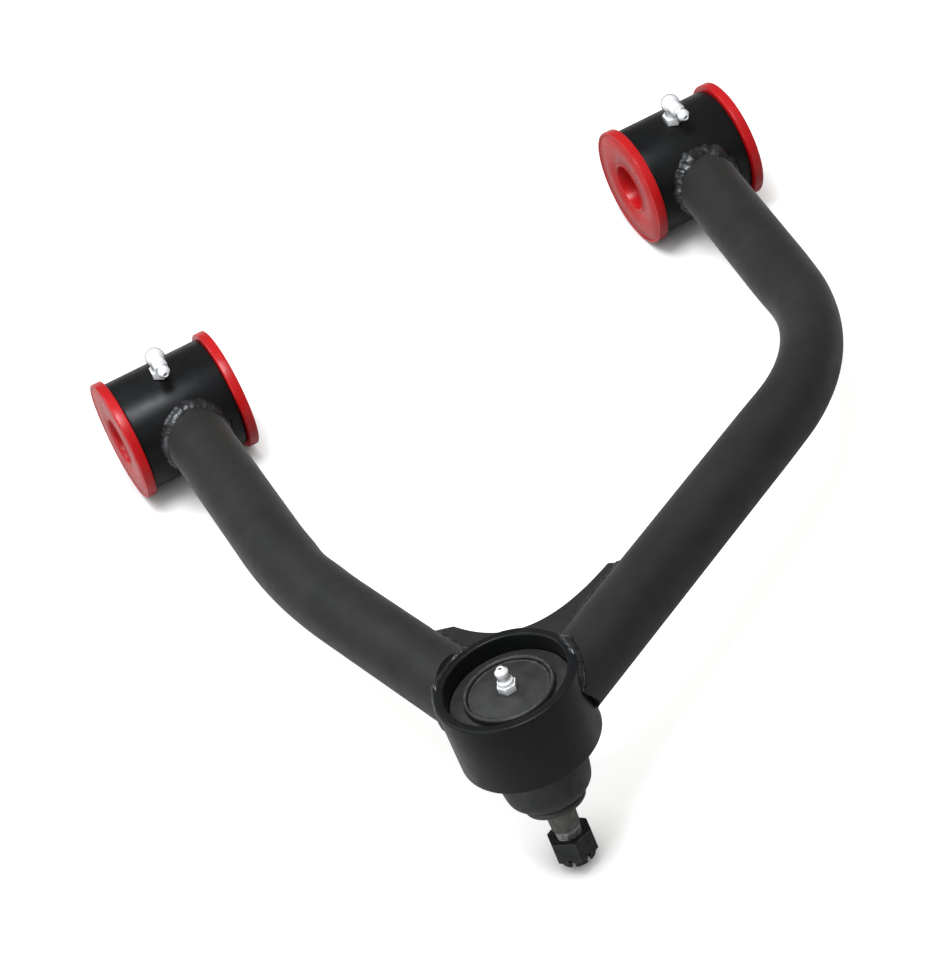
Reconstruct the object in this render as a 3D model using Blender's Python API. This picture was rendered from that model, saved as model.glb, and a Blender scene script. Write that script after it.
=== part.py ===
"""Tubular upper control arm with two greasable pivot bushings and a press-in ball joint.

Row frame: +X runs along the pivot axis from the front bushing to the rear one, the ball joint is
towards -Y and +Z is up. The arm lies at rest on its bushing flanges and its castle nut, and the
origin is on that floor, under the middle of the arm's box. All lengths are in metres.
"""

import math

import bmesh
import bpy
from mathutils import Matrix, Vector

# Clearances
GAP = 0.0003
RUNNING_GAP = 0.0002

# Pivot barrels
PIVOT_SPREAD = 0.2992
SIDES = {"front": -1, "rear": 1}
BARREL_LENGTH = 0.0523
BARREL_RADIUS = 0.0292
BARREL_BORE = 0.0254
BARREL_CHAMFER = 0.0006

# Bushings and sleeves
FLANGE_RADIUS = 0.03175
FLANGE_THICKNESS = 0.0052
FLANGE_EDGE = 0.0006
BUSHING_BORE = 0.0122
BORE_LIP_RADIUS = 0.0138
BORE_LIP_DEPTH = 0.0012
GREASE_SPACE = 0.0030
SLEEVE_BORE = 0.0071
SLEEVE_LENGTH = 0.0420
SLEEVE_CHAMFER = 0.0005

# Middle of the pivot axis
PIVOT_POINT = (0.0, 0.1600, FLANGE_RADIUS)

# Arm plane: it holds the pivot axis and both tube centrelines, and rises towards the ball joint
ARM_TILT = math.radians(9.5)

# Bent tubes
TUBE_RADIUS = 0.01635
TUBE_WALL = 0.0032
FRONT_BEND_RADIUS = 0.298
REAR_BEND_RADIUS = 0.114
FRONT_FLATTENING = 0.015
REAR_FLATTENING = 0.076
BEND_STEP_DEGREES = 8

# Tube centrelines in the arm plane: (along the pivot axis, outboard from it)
FRONT_TUBE_LINE = ((-0.1472, 0.0), (-0.1535, 0.1708), (-0.1218, 0.3216))
REAR_TUBE_LINE = ((0.1538, 0.0), (0.1264, 0.1995), (-0.0877, 0.3244))

# Ball joint cup: centre of its top face in arm plane coordinates, and its axis (X, inboard, up)
CUP_TOP = (-0.1128, 0.3191, 0.01525)
CUP_AXIS = (-0.066, 0.033, 1.0)
CUP_RADIUS = 0.03275
CUP_RECESS_RADIUS = 0.02825
CUP_BORE = 0.0250
CUP_HEIGHT = 0.0379
CUP_CHAMFER = 0.0008

# Ball joint housing and cover, with depths measured down from the cup's top face
LEDGE_DEPTH = 0.0088
LEDGE_THICKNESS = 0.0032
LIP_RADIUS = 0.0210
LIP_DEPTH = 0.0051
LIP_WIDTH = 0.0020
HOUSING_BORE = 0.0185
HOUSING_NECK_RADIUS = 0.0172
HOUSING_MOUTH_RADIUS = 0.0125
HOUSING_FLOOR_ROUND = 0.0015
LIP_ROUND = 0.0007
COVER_DEPTH = 0.0062
COVER_THICKNESS = 0.0020
BALL_DEPTH = 0.0245
BALL_RADIUS = 0.0125
STUD_LEAN_POINT = (-0.1095, 0.3333, -0.0854)

# Housing floor, outer shoulder and lower end, below the ball's centre, and the fillet under the shoulder
HOUSING_FLOOR = 0.0088
HOUSING_SHOULDER = 0.0087
HOUSING_END = 0.0120
HOUSING_FILLET = 0.0024

# Coned spring that loads the ball
DISC_SPRING_BORE = 0.0072
DISC_SPRING_RADIUS = 0.0160
DISC_SPRING_THICKNESS = 0.0008
DISC_SPRING_CONE = 0.0006

# Socket liner: room under the cover, rounding, and the angles from the ball's equator where it opens
BEARING_TOP_ROOM = 0.0020
BEARING_ROUND = 0.0020
BEARING_MOUTH_RADIUS = 0.0118
BEARING_TOP_ANGLE = 72.0
BEARING_MOUTH_ANGLE = -37.0

# Stud and nut, with distances measured from the ball's centre
NECK_RADIUS = 0.0060
NECK_END = 0.0175
TAPER_START = 0.028
TAPER_END = 0.0592
TAPER_LARGE_RADIUS = 0.0078
TAPER_SMALL_RADIUS = 0.0066
THREAD_RADIUS = 0.0060
STUD_END = 0.0772
NUT_SEAT = 0.0629
NUT_FLATS = 0.0190
NUT_HEX_HEIGHT = 0.0115
NUT_CROWN_HEIGHT = 0.0030
NUT_CROWN_RADIUS = 0.0075
NUT_SLOT_WIDTH = 0.0024
NUT_SLOT_OVERRUN = 0.0016
NUT_TURN = math.radians(18)
PIN_HOLE_RADIUS = 0.0011
PIN_HOLE_DROP = 0.0002

# Dust boot, as (distance from the ball's centre, outer radius)
BOOT_OUTLINE = (
    (0.0106, 0.0206),
    (0.0160, 0.0214),
    (0.0250, 0.0214),
    (0.0320, 0.0206),
    (0.0370, 0.0194),
    (0.0400, 0.0168),
    (0.0414, 0.0140),
    (0.0417, 0.0122),
    (0.0458, 0.0120),
)
BOOT_WALL = 0.0022
BOOT_MOUTH_RADIUS = 0.0081
BOOT_MOUTH_START = 0.0385
BOOT_LEAN_END = 0.0400
BOOT_RING_RADIUS = 0.0142

# Clamp round the boot's upper bead: its span below the ball's centre, its wall and the bead's swell
CLAMP_START = 0.0100
CLAMP_END = 0.0130
CLAMP_WALL = 0.0014
CLAMP_SWELL = 0.0007

# Gusset plate between the tubes, in arm plane coordinates: height and a concave cubic free edge
GUSSET_TOP = 0.0080
GUSSET_THICKNESS = 0.0050
GUSSET_EDGE_START = (-0.1125, 0.2627)
GUSSET_EDGE_CONTROLS = ((-0.0985, 0.2930), (-0.0740, 0.2925))
GUSSET_EDGE_END = (-0.0385, 0.2735)
GUSSET_EDGE_STEPS = 12
GUSSET_NEAR_FLANK = (-0.1300, 0.2550)
GUSSET_FAR_FLANK = ((-0.0300, 0.2800), (-0.0900, 0.3100), (-0.1250, 0.3100))

# Grease fittings
FITTING_SHANK_RADIUS = 0.0029
FITTING_HEX_FLATS = 0.0090
FITTING_HEX_HEIGHT = 0.0040
ELBOW_RADIUS = 0.0051
ELBOW_HEIGHT = 0.0112
ELBOW_NECK_RADIUS = 0.0036
ELBOW_SHANK_DEPTH = 0.0038
NOZZLE_REACH = 0.0150
NOZZLE_COLLAR_RADIUS = 0.0037
NOZZLE_NECK_RADIUS = 0.0025
NOZZLE_HEAD_RADIUS = 0.00325
NOZZLE_TIP_RADIUS = 0.0018
NOZZLE_MOUTH_RADIUS = 0.0008
STRAIGHT_TIP = 0.0122
STRAIGHT_SHANK_DEPTH = 0.0021
STRAIGHT_HEX_RADIUS = 0.0047
STRAIGHT_HEX_HEIGHT = 0.0035
DRILLING_RADIUS = 0.0011
CHECK_BORE = 0.0013
CHECK_BALL_RADIUS = 0.00095
CHECK_BALL_DEPTH = 0.00155

# Coil spring behind each check ball
CHECK_SPRING_WIRE_RADIUS = 0.00013
CHECK_SPRING_COIL_RADIUS = 0.00085
CHECK_SPRING_TURNS = 4

# Facets round a full turn
LARGE_FACETS = 48
FLANGE_FACETS = 40
MEDIUM_FACETS = 28
SMALL_FACETS = 20
FINE_FACETS = 10
CUTTER_FACETS = 64


def clear_scene():
    for obj in list(bpy.data.objects):
        bpy.data.objects.remove(obj, do_unlink=True)


def material(name, colour, roughness, metallic):
    mat = bpy.data.materials.get(name) or bpy.data.materials.new(name)
    mat.use_nodes = True
    shader = mat.node_tree.nodes["Principled BSDF"]
    shader.inputs["Base Color"].default_value = (*colour, 1.0)
    shader.inputs["Roughness"].default_value = roughness
    shader.inputs["Metallic"].default_value = metallic
    mat.diffuse_color = (*colour, 1.0)
    return mat


def link(obj):
    bpy.context.scene.collection.objects.link(obj)
    return obj


def make_frame(name, matrix):
    """An empty that carries the pieces of one local frame."""
    frame = link(bpy.data.objects.new(name, None))
    frame.empty_display_size = 0.02
    frame.matrix_world = matrix
    return frame


def make_object(name, bm, mat, frame=None, smooth=True):
    """Turns a bmesh, built in its frame's coordinates, into one named object."""
    bmesh.ops.recalc_face_normals(bm, faces=bm.faces)
    mesh = bpy.data.meshes.new(name)
    bm.to_mesh(mesh)
    bm.free()
    if smooth:
        mesh.shade_smooth()
        mesh.set_sharp_from_angle(angle=math.radians(35))
    if mat:
        mesh.materials.append(mat)
    obj = link(bpy.data.objects.new(name, mesh))
    if frame:
        obj.parent = frame
    return obj


def hide_as_cutter(obj):
    obj.hide_render = True
    obj.display_type = "WIRE"
    return obj


def boolean(obj, cutter, operation="DIFFERENCE"):
    modifier = obj.modifiers.new(f"{operation.lower()}_{cutter.name}", "BOOLEAN")
    modifier.operation = operation
    modifier.solver = "EXACT"
    modifier.object = cutter


def lathe(outline, facets, start_angle=0.0):
    """Spins a closed outline of (radius, height) points about Z."""
    bm = bmesh.new()
    turn = Matrix.Rotation(start_angle, 3, "Z")
    verts = [bm.verts.new(turn @ Vector((radius, 0.0, height))) for radius, height in outline]
    pairs = zip(verts, verts[1:] + verts[:1])
    edges = [bm.edges.new(pair) for pair in pairs if any(vert.co.xy.length > 0 for vert in pair)]
    bmesh.ops.spin(
        bm,
        geom=verts + edges,
        cent=(0, 0, 0),
        axis=(0, 0, 1),
        angle=math.tau,
        steps=facets,
        use_merge=True,
        use_duplicate=False,
    )
    bmesh.ops.remove_doubles(bm, verts=bm.verts, dist=1e-7)
    return bm


def arc(centre_radius, centre_height, radius, start, end, steps):
    """Points of a circular arc in an outline, with angles in degrees from the radial direction."""
    points = []
    for i in range(steps + 1):
        angle = math.radians(start + (end - start) * i / steps)
        points.append((centre_radius + radius * math.cos(angle), centre_height + radius * math.sin(angle)))
    return points


def rod_cutter(name, radius, length, facets, matrix, frame):
    """A plain cylinder centred on matrix's origin, along its Z."""
    bm = bmesh.new()
    bmesh.ops.create_cone(
        bm, segments=facets, radius1=radius, radius2=radius, depth=length, cap_ends=True, matrix=matrix
    )
    return hide_as_cutter(make_object(name, bm, None, frame))


def axis_matrix(origin, axis, towards=(1.0, 0.0, 0.0)):
    """A frame at origin whose Z is axis and whose X leans to the direction towards."""
    z = Vector(axis).normalized()
    x = Vector(towards)
    x = (x - x.project(z)).normalized()
    y = z.cross(x)
    rotation = Matrix((x, y, z)).transposed().to_4x4()
    return Matrix.Translation(origin) @ rotation


# Frames


def arm_matrix():
    return Matrix.Translation(PIVOT_POINT) @ Matrix.Rotation(-ARM_TILT, 4, "X")


def from_arm_plane(along, outboard, height=0.0):
    """Position of a point given in arm plane coordinates."""
    return arm_matrix() @ Vector((along, -outboard, height))


def cup_matrix():
    axis = arm_matrix().to_3x3() @ Vector(CUP_AXIS)
    return axis_matrix(from_arm_plane(*CUP_TOP), axis)


def stud_matrix():
    """Origin at the ball's centre, -Z down the stud."""
    centre = cup_matrix() @ Vector((0, 0, -BALL_DEPTH))
    axis = centre - from_arm_plane(*STUD_LEAN_POINT)
    return axis_matrix(centre, axis)


def barrel_matrix(side):
    """Z along the pivot axis, at the middle of the barrel on the side -1 (front) or 1 (rear)."""
    middle = Vector(PIVOT_POINT) + Vector((side * PIVOT_SPREAD / 2, 0, 0))
    return axis_matrix(middle, (1, 0, 0), (0, 0, 1))


def barrel_fitting_matrix(side):
    """Z up and out of the top of the barrel, X towards the nozzle."""
    top = Vector(PIVOT_POINT) + Vector((side * PIVOT_SPREAD / 2, 0, BARREL_RADIUS + GAP))
    return axis_matrix(top, (0, 0, 1), (side * 0.05, -1, 0))


# Pivot end


def build_barrel(name, frame):
    """Welded steel tube across the arm's end, drilled through one wall for its grease fitting."""
    half = BARREL_LENGTH / 2
    chamfer = BARREL_CHAMFER
    outline = (
        (BARREL_BORE, -half),
        (BARREL_RADIUS - chamfer, -half),
        (BARREL_RADIUS, -half + chamfer),
        (BARREL_RADIUS, half - chamfer),
        (BARREL_RADIUS - chamfer, half),
        (BARREL_BORE, half),
    )
    barrel = make_object(name, lathe(outline, LARGE_FACETS), PAINT, frame)
    wall_middle = (BARREL_RADIUS + BARREL_BORE) / 2
    across = Matrix.Translation((wall_middle, 0, 0)) @ Matrix.Rotation(math.pi / 2, 4, "Y")
    port = rod_cutter(f"cut_{name}_port", FITTING_SHANK_RADIUS + GAP, 0.012, SMALL_FACETS, across, frame)
    boolean(barrel, port)


def build_bushing(name, end, frame):
    """One flanged half; end is the direction along the barrel's axis in which its flange faces."""
    half = BARREL_LENGTH / 2
    shank_radius = BARREL_BORE - GAP
    inner = GREASE_SPACE / 2
    seat = half + GAP
    face = seat + FLANGE_THICKNESS
    round_centre = (FLANGE_RADIUS - FLANGE_EDGE, face - FLANGE_EDGE)
    outline = [(BUSHING_BORE, inner), (shank_radius, inner), (shank_radius, seat), (FLANGE_RADIUS, seat)]
    outline += arc(*round_centre, FLANGE_EDGE, 0, 90, 2)
    outline += [(BORE_LIP_RADIUS, face), (BUSHING_BORE, face - BORE_LIP_DEPTH)]
    outline = [(radius, end * height) for radius, height in outline]
    return make_object(name, lathe(outline, FLANGE_FACETS), RED_POLYURETHANE, frame)


def build_sleeve(name, frame):
    half = SLEEVE_LENGTH / 2
    outer = BUSHING_BORE - RUNNING_GAP
    chamfer = SLEEVE_CHAMFER
    outline = (
        (SLEEVE_BORE, -half),
        (outer - chamfer, -half),
        (outer, -half + chamfer),
        (outer, half - chamfer),
        (outer - chamfer, half),
        (SLEEVE_BORE, half),
    )
    return make_object(name, lathe(outline, MEDIUM_FACETS), STEEL, frame)


# Arm


def centreline(points, bend_radius):
    """Stations (position, direction, flattening weight) along two straights joined by one arc."""
    start, corner, end = (Vector((x, -y, 0.0)) for x, y in points)
    inward = (corner - start).normalized()
    outward = (end - corner).normalized()
    turn = inward.angle(outward)
    tangent_length = bend_radius * math.tan(turn / 2)
    arc_start = corner - inward * tangent_length
    normal = inward.cross(outward).normalized()
    to_centre = normal.cross(inward)
    centre = arc_start + to_centre * bend_radius
    ramp = TUBE_RADIUS
    stations = [(start, inward, 0.0), (arc_start - inward * ramp, inward, 0.0)]
    steps = max(5, round(math.degrees(turn) / BEND_STEP_DEGREES))
    for i in range(steps + 1):
        rotation = Matrix.Rotation(turn * i / steps, 3, normal)
        position = centre + rotation @ (arc_start - centre)
        weight = 0.5 if i in (0, steps) else 1.0
        stations.append((position, rotation @ inward, weight))
    arc_end = stations[-1][0]
    stations.append((arc_end + outward * ramp, outward, 0.0))
    stations.append((end, outward, 0.0))
    return stations


def tube_ring(bm, station, radius, flattening):
    position, direction, weight = station
    up = Vector((0, 0, 1))
    side = direction.cross(up)
    wide = radius * (1 + 0.5 * flattening * weight)
    narrow = radius * (1 - flattening * weight)
    ring = []
    for i in range(MEDIUM_FACETS):
        angle = math.tau * i / MEDIUM_FACETS
        ring.append(bm.verts.new(position + side * narrow * math.cos(angle) + up * wide * math.sin(angle)))
    return ring


def join_rings(bm, first, second):
    count = len(first)
    for i in range(count):
        j = (i + 1) % count
        bm.faces.new((first[i], first[j], second[j], second[i]))


def sweep_tube(points, bend_radius, flattening, radius, bore=None):
    """A bent tube in the arm plane, or a solid bar when there is no bore."""
    bm = bmesh.new()
    stations = centreline(points, bend_radius)
    outer = [tube_ring(bm, station, radius, flattening) for station in stations]
    for first, second in zip(outer, outer[1:]):
        join_rings(bm, first, second)
    if bore is None:
        bm.faces.new(outer[0])
        bm.faces.new(outer[-1])
        return bm
    inner = [tube_ring(bm, station, bore, flattening) for station in stations]
    for first, second in zip(inner, inner[1:]):
        join_rings(bm, first, second)
    join_rings(bm, outer[0], inner[0])
    join_rings(bm, outer[-1], inner[-1])
    return bm


def build_tube(name, points, bend_radius, flattening, arm):
    bm = sweep_tube(points, bend_radius, flattening, TUBE_RADIUS, TUBE_RADIUS - TUBE_WALL)
    return make_object(name, bm, PAINT, arm)


def cylinder_cutter(name, radius, low, high, frame):
    outline = ((0.0, low), (radius, low), (radius, high), (0.0, high))
    return hide_as_cutter(make_object(name, lathe(outline, CUTTER_FACETS), None, frame))


def build_cup(frame):
    """Turned ring with a wide recess at the top, over the narrower bore that holds the housing."""
    chamfer = CUP_CHAMFER
    shoulder = -LEDGE_DEPTH - LEDGE_THICKNESS - GAP
    outline = (
        (CUP_RECESS_RADIUS, 0.0),
        (CUP_RADIUS - chamfer, 0.0),
        (CUP_RADIUS, -chamfer),
        (CUP_RADIUS, -CUP_HEIGHT + chamfer),
        (CUP_RADIUS - chamfer, -CUP_HEIGHT),
        (CUP_BORE, -CUP_HEIGHT),
        (CUP_BORE, shoulder),
        (CUP_RECESS_RADIUS, shoulder),
    )
    return make_object("ball_joint_cup", lathe(outline, LARGE_FACETS), PAINT, frame)


def cubic(controls, t):
    """Point on a cubic Bezier curve."""
    weights = ((1 - t) ** 3, 3 * (1 - t) ** 2 * t, 3 * (1 - t) * t**2, t**3)
    return sum((point * weight for point, weight in zip(controls, weights)), Vector((0.0, 0.0)))


def build_gusset(arm):
    """Plate in the crotch of the tubes with one concave free edge that dips behind the cup."""
    controls = [Vector(point) for point in (GUSSET_EDGE_START, *GUSSET_EDGE_CONTROLS, GUSSET_EDGE_END)]
    edge = [cubic(controls, i / GUSSET_EDGE_STEPS) for i in range(GUSSET_EDGE_STEPS + 1)]
    outline = [Vector(GUSSET_NEAR_FLANK)] + edge + [Vector(point) for point in GUSSET_FAR_FLANK]
    bm = bmesh.new()
    low = GUSSET_TOP - GUSSET_THICKNESS
    face = bm.faces.new([bm.verts.new((p.x, -p.y, low)) for p in outline])
    extruded = bmesh.ops.extrude_face_region(bm, geom=[face])
    top = [item for item in extruded["geom"] if isinstance(item, bmesh.types.BMVert)]
    bmesh.ops.translate(bm, verts=top, vec=(0, 0, GUSSET_THICKNESS))
    return make_object("gusset_plate", bm, PAINT, arm, smooth=False)


def build_arm(arm, cup_frame, barrel_frames):
    """Both tubes, coped round the barrels and the cup, the cup itself and the gusset plate."""
    build_cup(cup_frame)
    gusset = build_gusset(arm)
    below_cup = -2 * CUP_HEIGHT
    cup_cutter = cylinder_cutter("cut_around_cup", CUP_RADIUS + GAP, below_cup, CUP_HEIGHT, cup_frame)
    boolean(gusset, cup_cutter)
    reach = PIVOT_SPREAD / 4
    for label, points, bend_radius, flattening in (
        ("front", FRONT_TUBE_LINE, FRONT_BEND_RADIUS, FRONT_FLATTENING),
        ("rear", REAR_TUBE_LINE, REAR_BEND_RADIUS, REAR_FLATTENING),
    ):
        tube = build_tube(f"tube_{label}", points, bend_radius, flattening, arm)
        cutter_name = f"cut_around_barrel_{label}"
        barrel_cutter = cylinder_cutter(cutter_name, BARREL_RADIUS + GAP, -reach, reach, barrel_frames[label])
        boolean(tube, barrel_cutter)
        boolean(tube, cup_cutter)
        solid = sweep_tube(points, bend_radius, flattening, TUBE_RADIUS + GAP)
        boolean(gusset, hide_as_cutter(make_object(f"cut_around_tube_{label}", solid, None, arm)))


# Ball joint


def build_housing(frame):
    """Pressed-in body: ledge in the cup's recess, crimped lip round the cover, and a neck for the boot."""
    body_radius = CUP_BORE - GAP
    ledge_radius = CUP_RECESS_RADIUS - GAP
    lip_bore = LIP_RADIUS - LIP_WIDTH
    ledge = -LEDGE_DEPTH
    floor = -BALL_DEPTH - HOUSING_FLOOR
    shoulder = -BALL_DEPTH - HOUSING_SHOULDER
    bottom = -BALL_DEPTH - HOUSING_END
    cover_seat = -COVER_DEPTH - COVER_THICKNESS - GAP
    outline = (
        (lip_bore, -LIP_DEPTH - LIP_ROUND),
        (lip_bore + LIP_ROUND, -LIP_DEPTH),
        (LIP_RADIUS - LIP_ROUND, -LIP_DEPTH),
        (LIP_RADIUS, -LIP_DEPTH - LIP_ROUND),
        (LIP_RADIUS, ledge),
        (ledge_radius, ledge),
        (ledge_radius, ledge - LEDGE_THICKNESS),
        (body_radius, ledge - LEDGE_THICKNESS),
        (body_radius, shoulder),
        (HOUSING_NECK_RADIUS + HOUSING_FILLET, shoulder - HOUSING_FILLET * 0.3),
        (HOUSING_NECK_RADIUS, shoulder - HOUSING_FILLET * 0.7),
        (HOUSING_NECK_RADIUS, bottom),
        (HOUSING_MOUTH_RADIUS + 0.0017, bottom),
        (HOUSING_MOUTH_RADIUS, floor),
        (HOUSING_BORE - HOUSING_FLOOR_ROUND, floor),
        (HOUSING_BORE, floor + HOUSING_FLOOR_ROUND),
        (HOUSING_BORE, cover_seat),
        (lip_bore, cover_seat),
    )
    return make_object("ball_joint_housing", lathe(outline, MEDIUM_FACETS), DARK_PLATE, frame)


def build_cover(frame):
    """Disc under the crimped lip, with a plain hole for the straight grease fitting."""
    radius = LIP_RADIUS - LIP_WIDTH - GAP
    top = -COVER_DEPTH
    outline = (
        (FITTING_SHANK_RADIUS + GAP, top),
        (radius - 0.0003, top),
        (radius, top - 0.0003),
        (radius, top - COVER_THICKNESS),
        (FITTING_SHANK_RADIUS + GAP, top - COVER_THICKNESS),
    )
    return make_object("cover_plate", lathe(outline, MEDIUM_FACETS), DARK_PLATE, frame)


def build_pressure_spring(frame):
    """Coned disc spring between the cover and the upper bearing half."""
    top = -COVER_DEPTH - COVER_THICKNESS - GAP
    rim = top - DISC_SPRING_CONE
    outline = (
        (DISC_SPRING_BORE, top - DISC_SPRING_THICKNESS),
        (DISC_SPRING_BORE, top),
        (DISC_SPRING_RADIUS, rim),
        (DISC_SPRING_RADIUS, rim - DISC_SPRING_THICKNESS),
    )
    return make_object("pressure_spring", lathe(outline, SMALL_FACETS), STEEL, frame)


def build_bearing_upper(frame):
    """Upper half of the socket liner, with a grease hole over the ball."""
    outer = HOUSING_BORE - GAP
    seat = BALL_RADIUS + GAP
    top = -COVER_DEPTH - COVER_THICKNESS - BEARING_TOP_ROOM
    joint_height = -BALL_DEPTH + GAP / 2
    hollow = arc(0.0, -BALL_DEPTH, seat, math.degrees(math.asin(GAP / 2 / seat)), BEARING_TOP_ANGLE, 6)
    outside = [(outer, joint_height), (outer, top - BEARING_ROUND)]
    outside += [(outer - BEARING_ROUND, top), (hollow[-1][0], top)]
    outline = outside + hollow[::-1]
    return make_object("bearing_upper", lathe(outline, SMALL_FACETS), NYLON, frame)


def build_bearing_lower(frame):
    """Lower half of the socket liner, open below for the stud's neck."""
    outer = HOUSING_BORE - GAP
    seat = BALL_RADIUS + GAP
    joint_height = -BALL_DEPTH - GAP / 2
    bottom = -BALL_DEPTH - HOUSING_FLOOR + GAP
    hollow = arc(0.0, -BALL_DEPTH, seat, -math.degrees(math.asin(GAP / 2 / seat)), BEARING_MOUTH_ANGLE, 5)
    outside = [(BEARING_MOUTH_RADIUS, bottom), (outer - BEARING_ROUND, bottom)]
    outside += [(outer, bottom + BEARING_ROUND), (outer, joint_height)]
    outline = hollow + outside
    return make_object("bearing_lower", lathe(outline, SMALL_FACETS), NYLON, frame)


def build_stud(frame):
    """Ball, neck, taper and plain thread, with a cross hole in line with one pair of the nut's slots."""
    neck_angle = -math.degrees(math.acos(NECK_RADIUS / BALL_RADIUS))
    top_angle = 70.0
    flat = BALL_RADIUS * math.sin(math.radians(top_angle))
    outline = [(0.0, flat)]
    outline += arc(0.0, 0.0, BALL_RADIUS, top_angle, neck_angle, 12)
    outline += [
        (NECK_RADIUS, -NECK_END),
        (TAPER_LARGE_RADIUS, -NECK_END - 0.0050),
        (TAPER_LARGE_RADIUS, -TAPER_START),
        (TAPER_SMALL_RADIUS, -TAPER_END),
        (THREAD_RADIUS, -TAPER_END - 0.0008),
        (THREAD_RADIUS, -STUD_END + 0.0010),
        (THREAD_RADIUS - 0.0010, -STUD_END),
        (0.0, -STUD_END),
    ]
    stud = make_object("ball_stud", lathe(outline, SMALL_FACETS), DARK_STEEL, frame)
    pin_height = -NUT_SEAT - NUT_HEX_HEIGHT - PIN_HOLE_DROP
    across = Matrix.Rotation(NUT_TURN + math.pi / 6, 4, "Z") @ Matrix.Rotation(math.pi / 2, 4, "Y")
    matrix = Matrix.Translation((0, 0, pin_height)) @ across
    boolean(stud, rod_cutter("cut_pin_hole", PIN_HOLE_RADIUS, 0.03, FINE_FACETS, matrix, frame))


def build_castle_nut(frame):
    """Hexagon with chamfered corners, a round crown below it and three slots right across the crown."""
    corner_radius = NUT_FLATS / 2 / math.cos(math.pi / 6)
    seat = -NUT_SEAT
    hex_end = seat - NUT_HEX_HEIGHT
    crown_end = hex_end - NUT_CROWN_HEIGHT
    bore = THREAD_RADIUS + GAP
    body = ((0.0, seat), (corner_radius, seat), (corner_radius, hex_end), (0.0, hex_end))
    nut = make_object("castle_nut", lathe(body, 6, NUT_TURN), DARK_STEEL, frame, smooth=False)
    crown = (
        (0.0, hex_end + 0.0010),
        (NUT_CROWN_RADIUS, hex_end + 0.0010),
        (NUT_CROWN_RADIUS, crown_end + 0.0008),
        (NUT_CROWN_RADIUS - 0.0008, crown_end),
        (0.0, crown_end),
    )
    crown_part = hide_as_cutter(make_object("add_nut_crown", lathe(crown, SMALL_FACETS), None, frame))
    rise = (corner_radius - NUT_FLATS / 2) * math.tan(math.radians(30))
    envelope = (
        (0.0, seat + 0.0002),
        (NUT_FLATS / 2, seat + 0.0002),
        (corner_radius + 0.0004, seat - rise),
        (corner_radius + 0.0004, hex_end + rise),
        (NUT_FLATS / 2, hex_end - 0.0002),
        (0.0, hex_end - 0.0002),
    )
    envelope_bm = lathe(envelope, SMALL_FACETS)
    envelope_part = hide_as_cutter(make_object("keep_nut_chamfer", envelope_bm, None, frame))
    above = seat + 0.002
    below = crown_end - 0.002
    bore_outline = ((0.0, above), (bore, above), (bore, below), (0.0, below))
    bore_part = hide_as_cutter(make_object("cut_nut_bore", lathe(bore_outline, SMALL_FACETS), None, frame))
    boolean(nut, envelope_part, "INTERSECT")
    boolean(nut, crown_part, "UNION")
    boolean(nut, bore_part)
    slot_height = NUT_CROWN_HEIGHT + 2 * NUT_SLOT_OVERRUN
    for i in range(3):
        slot = bmesh.new()
        bmesh.ops.create_cube(
            slot,
            size=1.0,
            matrix=Matrix.Rotation(NUT_TURN + math.pi / 6 + i * math.pi / 3, 4, "Z")
            @ Matrix.Translation((0, 0, hex_end - slot_height / 2 + NUT_SLOT_OVERRUN))
            @ Matrix.Diagonal((0.03, NUT_SLOT_WIDTH, slot_height, 1.0)),
        )
        boolean(nut, hide_as_cutter(make_object(f"cut_nut_slot_{i + 1}", slot, None, frame)))


def build_boot(cup_frame, stud_frame):
    """Rubber boot whose rings turn from the housing's axis to the stud's axis."""
    centre = stud_frame.matrix_world.translation
    top_axis = -(cup_frame.matrix_world.to_3x3() @ Vector((0, 0, 1)))
    end_axis = -(stud_frame.matrix_world.to_3x3() @ Vector((0, 0, 1)))
    to_local = cup_frame.matrix_world.inverted()
    first = BOOT_OUTLINE[0][0]
    last = BOOT_OUTLINE[-1][0]
    inner = [(distance - 0.0004, radius - BOOT_WALL) for distance, radius in BOOT_OUTLINE[1:-3]]
    inner = [(first, HOUSING_NECK_RADIUS + GAP)] + inner
    inner += [(BOOT_MOUTH_START, BOOT_MOUTH_RADIUS + 0.0005), (last, BOOT_MOUTH_RADIUS)]
    bm = bmesh.new()

    def ring(distance, radius):
        share = min(1.0, max(0.0, (distance - first) / (BOOT_LEAN_END - first)))
        axis = top_axis.lerp(end_axis, share * share * (3 - 2 * share)).normalized()
        local = axis_matrix(centre + axis * distance, -axis)
        verts = []
        for i in range(MEDIUM_FACETS):
            angle = math.tau * i / MEDIUM_FACETS
            point = local @ Vector((radius * math.cos(angle), radius * math.sin(angle), 0))
            verts.append(bm.verts.new(to_local @ point))
        return verts

    rings = [ring(*point) for point in list(BOOT_OUTLINE) + inner[::-1]]
    for near, far in zip(rings, rings[1:] + rings[:1]):
        join_rings(bm, near, far)
    return make_object("dust_boot", bm, RUBBER, cup_frame)


def build_boot_ring_upper(frame):
    """Clamp round the boot's upper bead, inside the cup."""
    inner = BOOT_OUTLINE[0][1] + CLAMP_SWELL + GAP
    outer = inner + CLAMP_WALL
    low = -BALL_DEPTH - CLAMP_END
    high = -BALL_DEPTH - CLAMP_START
    outline = ((inner, low), (outer, low), (outer, high), (inner, high))
    return make_object("boot_ring_upper", lathe(outline, MEDIUM_FACETS), DARK_STEEL, frame)


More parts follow.
